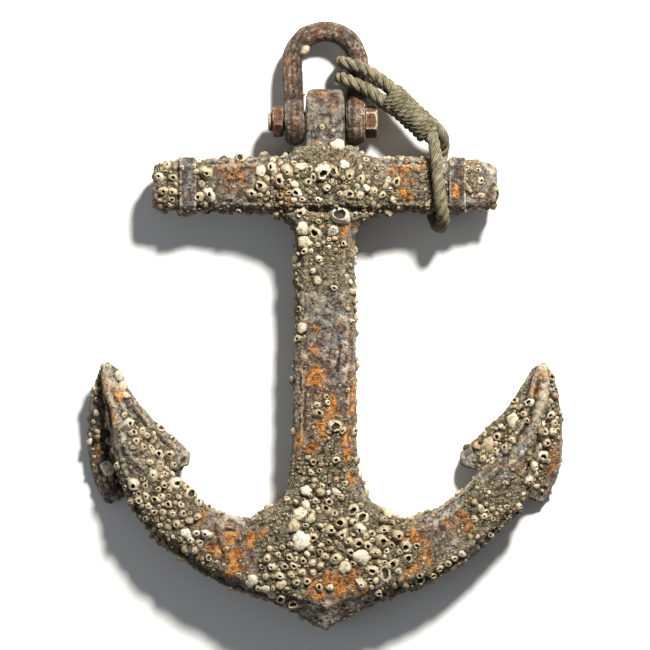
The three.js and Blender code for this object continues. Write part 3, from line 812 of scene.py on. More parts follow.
upper, upper_line, upper_len = laid_rope("rope_upper_run", UPPER_TURN, ROPE_R, 29, 0.9, 14, light_moss, 3)
lower, lower_line, lower_len = laid_rope("rope_lower_run", LOWER_TURN, ROPE_R, 29, 0.9, 14, light_moss, 5)
stock_rope, stock_line, stock_len = laid_rope(
    "rope_round_stock", STOCK_LOOP, ROPE_R, 30, 1.0, 16, stock_moss, 8, thick=0.56,
    swell=lambda t, line: 1.0 + 0.10 * smooth(0.2, 0.45, t) * (1 - smooth(0.6, 0.85, t)),
)

# the lashing: a thin laid line wound round the rope ends
LINE_R = 3.65
axis = unit(LASH_FOOT - LASH_TOP)
side = unit(np.array([-axis[1], axis[0], 0.0]))
upv = np.cross(axis, side)
lt = np.array([r[0] for r in LASH_ROWS])
la = np.array([r[1] for r in LASH_ROWS], float)
lb = np.array([r[2] for r in LASH_ROWS], float)
LASH_TURNS = 9.25
lash_rows = []
N_L = int(LASH_TURNS * 16)
lash_len_axis = np.linalg.norm(LASH_FOOT - LASH_TOP)
for i in range(N_L + 1):
    f = i / N_L
    # even turns, that lie on the slant, with a loose one at each end
    t0 = 0.055 + f * 0.885
    ang = 0.9 + 2 * math.pi * LASH_TURNS * f
    slant = 4.0 * math.sin(ang - 0.5) / lash_len_axis
    tt = t0 + slant
    ra = np.interp(tt, lt, la) - LINE_R - 0.15
    rb = np.interp(tt, lt, lb) - LINE_R - 0.15
    ends = 1 + 0.05 * (smooth(0.10, 0.0, np.array(f)) + smooth(0.90, 1.0, np.array(f)))
    wob = 1 + 0.028 * math.sin(2.7 * ang + 1.3) + 0.02 * math.sin(0.61 * ang)
    c = LASH_TOP + (LASH_FOOT - LASH_TOP) * tt
    lash_rows.append(c + side * math.cos(ang) * ra * ends * wob + upv * math.sin(ang) * rb * ends * wob)
# both ends tuck in under the turns
first, last = lash_rows[0], lash_rows[-1]
head_in = LASH_TOP + (LASH_FOOT - LASH_TOP) * 0.12
foot_in = LASH_TOP + (LASH_FOOT - LASH_TOP) * 0.88
lash_rows = [head_in + (first - head_in) * 0.45] + lash_rows + [foot_in + (last - foot_in) * 0.45]
lashing, lash_line, lash_len = laid_rope("rope_lashing_line", lash_rows, LINE_R, 12.0, 0.9, 10, light_moss, 12, thick=0.60)
core_rows = []
for tt in np.linspace(0.0, 1.0, 26):
    core_rows.append(tt)
sides = 20
th = np.linspace(0, 2 * np.pi, sides, endpoint=False)
cv, cuv = [], []
for tt in core_rows:
    ends = 0.55 + 0.45 * smooth(0, 0.08, np.array(tt)) * (1 - smooth(0.92, 1.0, np.array(tt)))
    ra = (np.interp(tt, lt, la) - LINE_R * 1.55) * ends
    rb = (np.interp(tt, lt, lb) - LINE_R * 1.55) * ends
    c = LASH_TOP + (LASH_FOOT - LASH_TOP) * (0.02 + 0.96 * tt)
    for a in th:
        cv.append(c + side * math.cos(a) * ra + upv * math.sin(a) * rb)
        cuv.append((tt * 12, a / (2 * math.pi)))
cv = np.array(cv)
m = len(core_rows)
i = np.arange(m - 1)[:, None] * sides + np.arange(sides)[None, :]
j = np.arange(m - 1)[:, None] * sides + (np.arange(sides) + 1)[None, :] % sides
quads = np.stack([i, j, j + sides, i + sides], -1).reshape(-1, 4)
e = np.arange(sides)
f_ = (e + 1) % sides
cap0, cap1 = len(cv), len(cv) + 1
tris = np.vstack([
    np.stack([f_, e, np.full(sides, cap0)], 1),
    np.stack([(m - 1) * sides + e, (m - 1) * sides + f_, np.full(sides, cap1)], 1),
])
cv = np.vstack([cv, LASH_TOP[None] + (LASH_FOOT - LASH_TOP) * 0.02, LASH_TOP[None] + (LASH_FOOT - LASH_TOP) * 0.98])
cuv = np.vstack([np.array(cuv), [[0, 0], [12, 0]]])
cv[: m * sides] += unit(cv[: m * sides] - np.repeat(LASH_TOP + (LASH_FOOT - LASH_TOP) * np.linspace(0.02, 0.98, m)[:, None], sides, 0)) * (fbm(cv[: m * sides], 4.0, 2, 77) * 0.7)[:, None]
# the core between the lashing's turns is painted near black as shade, with some dirt
core = mesh_object("rope_lashing_core", cv * U, quads, tris,
                   {"Rope": np.tile([0.1, 0.6, 0.7, 1.0], (len(cv), 1))}, cuv)

for o in (upper, lower, stock_rope):
    o.data.materials.append(rope_mat)
for o in (lashing, core):
    o.data.materials.append(line_mat)
for o in (upper, lower, lashing, core):
    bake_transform(o, "root", "shackle", **BLEND)
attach(stock_rope, "root")
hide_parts("rope_upper_turn")
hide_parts("rope_lower_turn")
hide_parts("rope_stock_loop")
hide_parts("rope_lashing")

# ============================================================ what grows where
# Patches on the face that looks up: (x, y, half width, half height, turn in
# degrees, strength), in modules from the top left corner of a 650 square, with
# the anchor's middle at (325, 324).
ORANGE = [
    # broad stains, where brown outweighs orange
    (318, 400, 17, 66, 0, 0.38), (350, 425, 7, 74, 0, 0.46), (303, 405, 5, 64, 0, 0.46),
    (234, 181, 24, 20, 0, 0.34), (408, 182, 20, 20, 0, 0.38), (340, 158, 22, 6, 0, 0.36),
    (462, 182, 8, 20, 0, 0.36), (229, 545, 24, 36, 0, 0.40), (335, 580, 36, 20, 0, 0.46),
    (415, 550, 22, 30, 0, 0.46), (458, 524, 22, 14, -25, 0.42), (110, 405, 8, 34, -10, 0.40),
    (97, 452, 6, 36, 0, 0.40), (556, 462, 7, 36, 0, 0.44), (538, 386, 8, 18, 0, 0.42),
    (325, 350, 24, 26, 0, 0.16), (342, 245, 9, 26, 0, 0.38), (293, 207, 26, 5, 0, 0.5),
    (298, 110, 6, 24, 0, 0.22), (354, 112, 6, 22, 0, 0.30), (290, 60, 6, 30, 0, 0.26),
    (320, 95, 20, 8, 0, 0.30), (481, 187, 9, 10, 0, 0.26),
    (314, 350, 4, 9, 0, 1), (316, 377, 8, 9, 0, 1.1), (333, 401, 5, 11, -12, 1),
    (330, 414, 8, 8, 0, 1), (324, 430, 6, 12, -20, 1.1), (312, 446, 7, 7, 0, 1.1),
    (306, 421, 3, 8, 0, 0.8), (299, 440, 2.6, 15, 0, 1), (354, 388, 3, 13, 0, 1),
    (355, 411, 3.4, 9, 0, 1), (346, 437, 5, 13, 0, 1.15), (347, 455, 5, 8, 0, 1.1),
    (351, 476, 4, 9, 0, 1.1), (317, 331, 4, 4, 0, 0.8), (345, 233, 6, 8, 0, 0.9),
    (341, 250, 4, 8, 0, 0.7),
    (221, 170, 5, 7, 0, 0.6), (231, 176, 5, 5, 0, 0.8), (242, 173, 4, 10, 0, 0.9),
    (230, 191, 5, 4, 0, 0.6), (246, 190, 4, 4, 0, 0.5), (253, 168, 4, 4, 0, 0.6),
    (288, 196, 9, 6, 20, 1.1), (296, 204, 12, 3.4, 12, 1.1), (262, 199, 5, 3, 0, 0.6),
    (395, 168, 8, 7, 0, 0.7), (408, 170, 9, 5, 0, 0.8), (400, 182, 6, 7, 0, 0.7),
    (412, 181, 6, 5, 0, 0.7), (404, 197, 9, 7, 0, 1.1), (423, 165, 8, 3.4, 0, 0.8),
    (455, 192, 5, 9, 0, 0.85), (468, 167, 4, 9, 0, 0.6), (345, 158, 7, 3, 0, 0.7),
    (202, 517, 5, 7, 20, 0.8), (231, 535, 6, 8, 0, 0.9), (219, 548, 9, 6, 10, 0.8),
    (207, 548, 6, 6, 0, 0.9), (235, 557, 8, 8, 0, 1.2), (236, 567, 8, 5, 0, 1.2),
    (230, 575, 8, 5, 20, 1.1), (251, 541, 4, 10, 12, 1), (259, 531, 9, 4, -30, 0.9),
    (188, 500, 8, 3, 35, 0.6),
    (317, 587, 10, 10, 0, 1.4), (332, 577, 10, 8, 0, 1.35), (341, 588, 9, 7, 0, 1.4),
    (355, 577, 7, 8, 0, 1.3), (362, 587, 8, 6, 0, 1.3), (345, 563, 9, 7, 0, 0.8),
    (401, 540, 5, 6, 0, 1.1), (414, 537, 6, 8, 0, 1.1), (428, 544, 4, 5, 0, 1),
    (426, 557, 5, 8, 0, 1.1), (413, 567, 8, 7, 0, 1.1), (405, 574, 8, 5, 0, 1.0),
    (446, 522, 5, 4, 0, 1.1), (464, 513, 8, 5, 20, 1.1), (468, 526, 5, 8, 0, 1.2),
    (402, 517, 13, 3.2, 12, 0.9), (440, 565, 6, 4, 0, 0.7),
    (111, 414, 4.4, 10, -14, 1.2), (118, 396, 7, 7, 0, 1.0), (105, 386, 5, 8, 0, 0.8),
    (97, 445, 3.6, 6, 0, 0.9), (97, 455, 3.6, 6, 0, 0.9), (174, 441, 5, 3.6, 40, 0.9),
    (104, 484, 5, 8, 0, 0.6),
    (535, 390, 5, 8, 0, 1.0), (544, 374, 6, 4, -30, 0.9), (553, 462, 5, 15, 15, 1.0),
    (521, 470, 4, 6, 20, 0.9), (480, 438, 5, 3.6, -40, 0.9), (527, 505, 5, 3, 0, 0.6),
    (287, 60, 3.4, 9, 8, 0.55), (291, 45, 5, 5, 0, 0.5), (323, 97, 17, 5, 0, 0.38),
    (311, 92, 8, 4, 0, 0.45), (354, 105, 6, 8, 0, 0.5), (349, 123, 3.6, 14, 0, 0.5),
    (371, 118, 7, 9, 0, 0.34), (370, 128, 7, 6, 0, 0.34), (278, 118, 6, 9, 0, 0.24),
    (299, 116, 4, 9, 0, 0.4), (316, 115, 10, 6, 0, 0.22), (332, 152, 10, 4, 0, 0.5),
]
CRUST = [
    (324, 290, 28, 62, 0, 0.60), (316, 360, 12, 30, 0, 0.42), (300, 350, 5, 90, 0, 0.6),
    (470, 530, 40, 16, -35, 0.6), (322, 152, 34, 10, 0, 0.75),
    (316, 186, 66, 25, 0, 1.2), (385, 196, 24, 14, 0, 1.0), (424, 178, 16, 18, 0, 1.0),
    (417, 198, 18, 9, 0, 1.1), (343, 168, 40, 12, 0, 1.0), (453, 168, 5, 12, 0, 0.9),
    (471, 175, 11, 20, 0, 0.9), (168, 180, 12, 24, 0, 1.0), (203, 182, 8, 24, 0, 0.9),
    (322, 238, 28, 28, 0, 0.9), (330, 262, 20, 10, 0, 0.7), (300, 305, 6, 40, 0, 0.9),
    (344, 380, 10, 12, 0, 0.8), (317, 410, 9, 14, 0, 0.9), (340, 425, 12, 10, 0, 1.0),
    (349, 300, 5, 45, 0, 0.6), (323, 480, 30, 36, 0, 1.3), (320, 545, 72, 48, 0, 1.3),
    (370, 545, 50, 38, 20, 1.2), (275, 560, 30, 24, 0, 1.1), (290, 590, 40, 16, 25, 0.7),
    (165, 505, 42, 36, 38, 1.1), (205, 530, 14, 10, 20, 0.8), (150, 460, 26, 22, 40, 1.0),
    (136, 430, 22, 13, 50, 0.9), (98, 425, 7, 44, 0, 0.7), (108, 478, 10, 22, 0, 0.6),
    (150, 500, 26, 26, 40, 0.9), (185, 548, 40, 14, 35, 0.8),
    (447, 545, 26, 24, 0, 0.85), (490, 510, 36, 27, -42, 1.15), (516, 468, 17, 24, -20, 1.0),
    (497, 440, 26, 18, -45, 1.1), (521, 405, 14, 26, -25, 1.0), (543, 440, 15, 56, 5, 1.2),
    (550, 400, 10, 30, 0, 1.0), (398, 580, 26, 12, -20, 0.7), (268, 585, 26, 12, 25, 0.8),
    (322, 133, 16, 9, 0, 0.55), (325, 150, 26, 9, 0, 0.65), (348, 208, 44, 10, 0, 1.0),
    (295, 210, 30, 10, 0, 0.9),
]
BARE = [
    (106, 368, 9, 12, 0, 1.2), (108, 388, 6, 12, 0, 1.1), (113, 404, 6, 12, -15, 1.1),
    (118, 420, 6, 12, -15, 1.1), (124, 438, 6, 12, -20, 1.1), (133, 455, 8, 10, -40, 1.0),
    (545, 368, 9, 12, 0, 1.2), (544, 388, 7, 12, 0, 1.2), (541, 404, 7, 12, 10, 1.2),
    (536, 420, 7, 12, 15, 1.2), (529, 436, 8, 11, 25, 1.2), (520, 451, 8, 12, 30, 1.2),
    (509, 466, 8, 11, 40, 1.1), (466, 456, 9, 8, -40, 1.2), (182, 455, 9, 8, 40, 1.1),
    (188, 180, 10, 25, 0, 1.2), (457, 178, 9, 24, 0, 1.0), (484, 180, 12, 22, 0, 0.9),
    (230, 182, 24, 20, 0, 0.9), (325, 320, 24, 50, 0, 0.8), (338, 355, 14, 40, 0, 0.9),
    (325, 608, 22, 16, 0, 1.2), (440, 525, 26, 14, -30, 1.0), (444, 548, 22, 20, 0, 0.7),
    (225, 530, 22, 16, 20, 0.8), (253, 555, 8, 22, 0, 0.8), (105, 378, 7, 16, 12, 1.1),
    (120, 425, 9, 34, -25, 1.1), (143, 465, 18, 12, 45, 0.9), (183, 458, 10, 6, 40, 1.0),
    (541, 372, 8, 13, -10, 1.2), (531, 410, 7, 34, 12, 1.2), (512, 455, 10, 30, 32, 1.0),
    (466, 456, 9, 6, -40, 1.2), (545, 492, 8, 14, 10, 0.9), (324, 113, 18, 20, 0, 1.0),
    (155, 425, 20, 4, 47, 0.8), (495, 420, 18, 4, -45, 0.7), (325, 40, 40, 40, 0, 0.8),
    (276, 532, 12, 10, 0, 0.8),
]
GREEN = [
    (322, 262, 28, 44, 0, 1.0), (318, 188, 60, 22, 0, 0.55), (322, 150, 26, 9, 0, 0.6),
    (478, 175, 9, 14, 0, 0.8), (492, 508, 30, 20, -42, 0.7), (302, 300, 8, 60, 0, 0.7),
    (120, 470, 14, 24, 0, 0.5), (323, 470, 24, 26, 0, 0.4), (545, 420, 12, 40, 5, 0.5),
    (158, 505, 36, 26, 38, 0.35), (324, 118, 16, 16, 0, 0.4), (380, 552, 40, 26, 20, 0.3),
]
# Bleached patches, many of them painted highlights along lit upper bevels, fluke ridges and edges.
PALE_AND_LIT = [
    (196, 502, 26, 4.2, 33, 1.0), (236, 521, 22, 4, 8, 0.9), (262, 516, 12, 5, -20, 0.5),
    (385, 520, 12, 5, 12, 0.8), (405, 165, 16, 3, 5, 0.5), (105, 380, 3, 10, 10, 0.5),
    (544, 380, 3, 12, -8, 0.6), (324, 606, 14, 8, 0, 0.6), (188, 178, 6, 18, 0, 0.35),
    (326, 108, 9, 8, 0, 0.5), (338, 113, 5, 14, 0, 0.4), (345, 320, 4, 30, 0, 0.35),
    (516, 440, 3, 22, 30, 0.5), (324, 300, 10, 26, 0, 0.25),
]


def patches(rows, x, y, seed):
    """The strongest patch at each point, with ragged edges."""
    q = np.stack([1.35 * x, 0.55 * y, np.zeros_like(x)], 1)
    wx = x + 5.0 * fbm(q, 15.0, 2, seed) + 3.4 * fbm(q, 5.0, 2, seed + 5)
    wy = y + 8.0 * fbm(q, 15.0, 2, seed + 11) + 5.0 * fbm(q, 5.0, 2, seed + 17)
    out = np.zeros_like(x)
    for px, py, rx, ry, turn, s in rows:
        dx, dy = wx - (px - 325), wy - (324 - py)
        near = (np.abs(dx) < 2.2 * max(rx, ry)) & (np.abs(dy) < 2.2 * max(rx, ry))
        if not near.any():
            continue
        c, n = math.cos(math.radians(-turn)), math.sin(math.radians(-turn))
        u = (dx[near] * c + dy[near] * n) / rx
        v = (-dx[near] * n + dy[near] * c) / ry
        d = np.sqrt(u * u + v * v)
        out[near] = np.maximum(out[near], s * smooth(1.75, 0.30, d))
    return out


def masks(co, no):
    """Colours per vertex: rust, crust and bare iron; bleached film with painted highlights, painted shade with some
    dirt, and green.
    """
    p = co / U
    x, y, z = p.T
    up = smooth(-0.05, 0.45, no[:, 2])
    back = 1 - up
    wild = fbm(p, 34.0, 3, 101)
    wild2 = fbm(p, 26.0, 3, 151)
    orange = patches(ORANGE, x, y, 3) * (0.25 + 0.75 * up) + back * smooth(0.22, 0.42, wild) * 0.95
    orange += up * 0.28 * smooth(0.25, 0.5, fbm(p, 12.0, 3, 211))
    crust = patches(CRUST, x, y, 23)
    crust = crust * (0.55 + 0.45 * up) + back * smooth(-0.2, 0.25, wild2) * 0.9
    bare = patches(BARE, x, y, 43)
    crust = crust * (1 - 0.75 * np.clip(bare, 0, 1) * up)
    # bleached film, partly painted highlights on lit upper bevels and edges
    pale_and_lit = patches(PALE_AND_LIT, x, y, 63) * up
    # the shackle and head stay mostly clean iron
    clean = smooth(176, 190, y)
    crust = crust * (1 - 0.65 * clean)
    # painted shade with a little dirt: darker on faces turned from the key light, on back faces and near the floor
    low = smooth(40, 4, z)
    away = no[:, 1] * 1.0 + no[:, 0] * 0.12
    shade_and_grime = np.clip(
        0.95 * smooth(0.92, 0.5, no[:, 2]) * smooth(0.0, -0.55, away)
        + 0.25 * back * smooth(0.3, -0.4, away)
        + 0.25 * low,
        0,
        1,
    )
    # more painted shade on the shackle end's faces turned from the key
    shade_and_grime = np.maximum(
        shade_and_grime, 0.8 * smooth(182, 188, y) * smooth(0.95, 0.35, no[:, 2]) * smooth(0.05, -0.5, away)
    )
    # painted shade down the head's sides and towards its lower end
    head = smooth(180, 190, y) * smooth(40, 30, np.abs(x + 1))
    shade_and_grime = np.maximum(shade_and_grime, head * (0.30 + 0.50 * smooth(10.0, 18.0, np.abs(x + 1.0)) + 0.25 * smooth(198, 186, y)))
    green = smooth(0.1, 0.45, fbm(p, 40.0, 2, 301)) * 0.5 * crust + 0.25 * smooth(0.2, 0.5, fbm(p, 18.0, 2, 331)) * up
    green = np.maximum(green, 0.8 * patches(GREEN, x, y, 73) * (0.4 + 0.6 * up))
    one = np.ones_like(x)
    return (
        np.stack([np.clip(orange, 0, 1.2), np.clip(crust, 0, 1), np.clip(bare, 0, 1), one], 1),
        np.stack([pale_and_lit, shade_and_grime, np.clip(green, 0, 1), one], 1),
    )


iron_mat = iron_material("old_iron", (116, 109, 101), (110, 78, 53), -0.03)
shackle_mat = iron_material("shackle_iron", (82, 73, 71), (94, 64, 47), 0.10)
bolt_mat = iron_material("bolt_iron", (78, 64, 56), (90, 56, 38), 0.18)
band_mat = iron_material("band_iron", (98, 91, 88), (92, 70, 54), -0.02)
shell_mat = shell_material("shell_lime")


# Grooves and ridges on the face that looks up: depth (+ cuts in, - stands proud),
# half width, then the line's points in the 650 square.
LINES = [
    # flukes: the slot beside the ridge, the ridge, the groove inside it, the rim
    (7.0, 3.6, [(103, 398), (107, 414), (107, 428), (103, 442), (104, 456), (109, 470), (117, 486), (124, 502)]),
    (-3.4, 4.6, [(106, 366), (108, 385), (112, 400), (117, 416), (122, 434), (128, 450), (141, 465), (152, 482)]),
    (2.6, 1.9, [(113, 392), (119, 406), (126, 424), (134, 444), (150, 463)]),
    (-1.8, 3.0, [(116, 384), (130, 404), (146, 421), (160, 435), (174, 446), (186, 456)]),
    (2.4, 1.6, [(122, 398), (138, 416), (152, 430), (166, 444), (178, 460)]),
    (-4.2, 5.4, [(544, 362), (545, 385), (543, 400), (539, 414), (535, 428), (528, 440), (522, 450), (514, 462), (503, 475)]),
    (4.4, 2.4, [(538, 382), (535, 396), (531, 410), (527, 424), (518, 437), (510, 450), (500, 462)]),
    (6.2, 3.0, [(550, 388), (550, 410), (547, 424), (542, 438), (536, 452), (529, 468), (524, 482), (523, 494)]),
    (-1.8, 3.0, [(533, 388), (518, 404), (503, 420), (488, 434), (476, 446), (464, 455)]),
    # seams where the stock's skin has parted
    (2.6, 1.6, [(206, 163), (222, 163), (236, 161), (250, 161), (266, 158)]),
    (2.4, 1.5, [(384, 160), (398, 162), (414, 163), (434, 165)]),
    (2.0, 1.7, [(206, 200), (230, 202), (256, 202), (276, 204)]),
    (2.2, 1.7, [(384, 202), (404, 201), (432, 200)]),
    (2.0, 1.6, [(433, 164), (434, 182), (433, 200)]),
    (1.6, 1.4, [(214, 178), (228, 181), (240, 180), (252, 184)]),
    (1.5, 1.3, [(394, 190), (410, 188), (426, 190)]),
    # cracks down the shank's edges
    (2.4, 1.5, [(306, 340), (304, 362), (306, 388), (304, 412), (305, 440), (302, 462)]),
    (1.8, 1.3, [(300, 372), (301, 400), (299, 430)]),
    (2.6, 1.6, [(346, 350), (348, 376), (347, 402), (349, 428), (348, 452), (352, 482)]),
    (1.6, 1.4, [(320, 352), (323, 372), (321, 392), (326, 410)]),
    (1.4, 1.4, [(338, 330), (340, 352), (337, 372)]),
    (1.5, 1.5, [(304, 225), (305, 250), (303, 275), (305, 300), (304, 322)]),
    (1.5, 1.5, [(347, 235), (346, 262), (348, 290), (347, 320)]),
    # where the arms' bevels meet their faces
    (1.8, 1.8, [(170, 497), (186, 509), (204, 519), (224, 528), (246, 531), (264, 526)]),
    (1.8, 1.8, [(378, 525), (398, 523), (418, 519), (440, 510), (462, 496), (478, 482)]),
    (2.2, 1.8, [(126, 494), (142, 518), (164, 540), (190, 560), (216, 577), (246, 590), (276, 600)]),
    (2.2, 1.8, [(360, 606), (392, 590), (424, 578), (452, 564), (480, 545), (504, 520), (518, 500)]),
    (1.6, 1.5, [(214, 520), (218, 540), (226, 560), (232, 578)]),
    (1.6, 1.5, [(402, 524), (410, 542), (412, 560), (404, 576)]),
    (-2.2, 4.0, [(196, 498), (215, 509), (236, 517), (254, 516)]),
    # the neck under the square head
    (1.8, 2.0, [(306, 139), (324, 141), (344, 139)]),
]


# Where a fluke's outer blade turns up at its edge
DISH = [(92, 408, 8, 30, 0, 1.0), (94, 450, 8, 30, 0, 1.0), (101, 486, 9, 16, 0, 0.9),
        (559, 450, 6, 30, 0, 0.6), (552, 480, 8, 16, 0, 0.6)]


def line_work(x, y, up):
    """How far the drawn grooves and ridges move each point, in modules."""
    q = np.stack([x, y, np.zeros_like(x)], 1)
    wx = x + 1.3 * fbm(q, 11.0, 2, 501)
    wy = y + 1.3 * fbm(q, 11.0, 2, 507)
    rough = 0.75 + 0.5 * fbm(q, 7.0, 2, 513)
    broken = 1.25 * smooth(-0.22, 0.18, fbm(q * np.array([1.6, 0.6, 1]), 16.0, 2, 519))
    out = np.zeros_like(x)
    for deep, wide, pts in LINES:
        p = np.array([(px - 325.0, 324.0 - py) for px, py in pts])
        lo, hi = p.min(0) - 3 * wide, p.max(0) + 3 * wide
        near = (up > 0.02) & (wx > lo[0]) & (wx < hi[0]) & (wy > lo[1]) & (wy < hi[1])
        if not near.any():
            continue
        u, v = wx[near], wy[near]
        best = np.full(len(u), 1e9)
        fade = np.ones(len(u))
        total = len(p) - 1
        for i in range(total):
            d = p[i + 1] - p[i]
            t = np.clip(((u - p[i][0]) * d[0] + (v - p[i][1]) * d[1]) / (d @ d), 0, 1)
            dist = np.hypot(u - p[i][0] - t * d[0], v - p[i][1] - t * d[1])
            where = (i + t) / total
            f = smooth(0.0, 0.14, where) * smooth(1.0, 0.86, where)
            closer = dist < best
            best = np.where(closer, dist, best)
            fade = np.where(closer, f, fade)
        part = broken[near] if 0 < deep < 3 else 1.0
        out[near] -= deep * np.exp(-((best / wide) ** 2)) * (0.35 + 0.65 * fade) * rough[near] * part
    return out * smooth(0.02, 0.35, up)


def soften(p, edges, times):
    """The points, drawn towards their neighbours' middle a few times over."""
    n = len(p)
    deg = np.bincount(edges.reshape(-1), minlength=n).astype(float)
    i, j = edges[:, 0], edges[:, 1]
    q = p.copy()
    for _ in range(times):
        out = np.empty_like(q)
        for k in range(3):
            out[:, k] = np.bincount(i, q[j, k], n) + np.bincount(j, q[i, k], n)
        q = out / np.maximum(deg, 1)[:, None]
    return q


def sculpt(name, nodes, voxel, mat, body, amount=1.0, relax=1, seed=0, crusty=1.0, drawn=False):
    """A worn, crusted copy of CAD nodes that stands for them."""
    me = remeshed(name, nodes, voxel, relax)
    co, no = arrays_of(me)
    p = co / U
    rust, film = masks(co, no)
    crust = rust[:, 1] * crusty
    orange, bare = rust[:, 0], rust[:, 2]
    soft = 1 - 0.45 * bare
    # moving iron passes close by here, so the skin stays thin
    tight = 1 - 0.72 * smooth(170, 181, p[:, 1]) if drawn else 1.0
    d = 0.95 * fbm(p, 30.0, 2, seed + 1) + 0.75 * soft * fbm(p, 10.0, 3, seed + 2)
    # scale that has lifted in sheets
    f = fbm(p, 19.0, 3, seed + 3)
    sheet = smooth(0.02, 0.06, f) + smooth(0.20, 0.24, f) + smooth(-0.22, -0.18, f)
    d += 0.50 * (sheet - 1) * (1 - 0.7 * crust)
    # pits
    w, who = worley(p, 7.0, seed + 4)
    d -= 1.0 * smooth(0.36, 0.10, w) * (who > 0.5) * (1 - crust)
    w, who = worley(p, 4.0, seed + 14)
    d -= 0.7 * smooth(0.36, 0.10, w) * (who > 0.6) * (1 - 0.6 * crust)
    d -= 0.5 * smooth(0.4, 0.8, orange) * (1 - crust)
    # the crust stands proud, in lumps and grains
    lump = fbm(p, 15.0, 2, seed + 9)
    w0, k0 = worley(p, 9.5, seed + 8)
    w1, k1 = worley(p, 5.4, seed + 5)
    w2, k2 = worley(p, 3.0, seed + 6)
    d += crust * (
        0.35
        + 1.2 * lump
        + 1.8 * smooth(0.62, 0.15, w0) * (k0 > 0.45)
        + 2.1 * (0.60 - w1) * (0.35 + k1)
        + 1.2 * (0.55 - w2)
    )
    d = d * amount * tight
    if drawn:
        d += line_work(p[:, 0], p[:, 1], no[:, 2]) * tight
    d = np.clip(d, -7.5, 4.8)
    new = co + no * (d * U)[:, None]
    if drawn:
        lift = patches(DISH, p[:, 0], p[:, 1], 91) * smooth(0.15, 0.6, no[:, 2])
        new[:, 2] += 4.5 * lift * U
    # the corners of the box stay where the drawing has them
    box_lo, box_hi = co.min(0), co.max(0)
    new = np.clip(new, box_lo - 0.0035, box_hi + 0.0035)
    new[:, 2] = np.maximum(new[:, 2], 0.0)
    me.vertices.foreach_set("co", new.astype(np.float32).reshape(-1))
    me.update()
    edges = np.zeros(len(me.edges) * 2, np.int32)
    me.edges.foreach_get("vertices", edges)
    edges = edges.reshape(-1, 2)
    _, fresh = arrays_of(me)
    near = soften(new, edges, 3)
    wide = soften(near, edges, 9)
    a1 = np.sum((new - near) * fresh, 1) / U
    a2 = np.sum((new - wide) * fresh, 1) / U
    k = 1.0 if amount > 0.6 else 0.5
    # alpha: recesses found from the mesh's curvature, darkened as painted shade with some dirt
    rust[:, 3] = np.clip(smooth(0.03, 0.50 * k, -a1) * 0.7 + smooth(0.10, 1.4 * k, -a2) * 0.9, 0, 1)
    blade = np.clip(patches(DISH, p[:, 0], p[:, 1], 91), 0, 1)
    # less painted shade on the fluke blades that turn up at their edge
    rust[:, 3] *= 1 - 0.75 * blade
    film[:, 1] *= 1 - 0.6 * blade
    film[:, 3] = np.clip(smooth(0.08, 0.7 * k, a1) * 0.5 + smooth(0.3, 1.7 * k, a2) * 0.6, 0, 1)
    for key, val in (("RustAndHollowShade", rust), ("FilmAndPaintedLight", film)):
        a = me.attributes.new(key, "FLOAT_COLOR", "POINT")
        a.data.foreach_set("color", val.astype(np.float32).reshape(-1))
    me.polygons.foreach_set("use_smooth", np.ones(len(me.polygons), bool))
    me.materials.append(mat)
    ob = bpy.data.objects.new(name, me)
    scene.collection.objects.link(ob)
    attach(ob, body)
    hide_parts(*nodes)
    return ob


forging = sculpt("anchor_body", ["anchor_forging"], 0.00215, iron_mat, "root", 1.0, 1, 10, 1.0, True)
stock = sculpt("stock_body", ["stock"], 0.0019, iron_mat, "root", 1.0, 1, 20, 1.0, True)
hoop_l = sculpt("band_left", ["hoop_left"], 0.0014, band_mat, "root", 0.28, 1, 30, 0.3)
hoop_r = sculpt("band_right", ["hoop_right"], 0.0014, band_mat, "root", 0.28, 1, 40, 0.3)
keyp = sculpt("cross_key", ["stock_key"], 0.0014, band_mat, "root", 0.2, 0, 50, 0.3)
bow = sculpt("shackle_rod", ["shackle_bow"], 0.0016, shackle_mat, "shackle", 0.55, 2, 60, 0.3)
bolt = sculpt("bolt_body", ["shackle_bolt"], 0.0013, bolt_mat, "shackle", 0.2, 1, 70, 0.3)
nut = sculpt("nut_body", ["shackle_nut"], 0.0009, bolt_mat, "shackle", 0.2, 1, 80, 0.3)


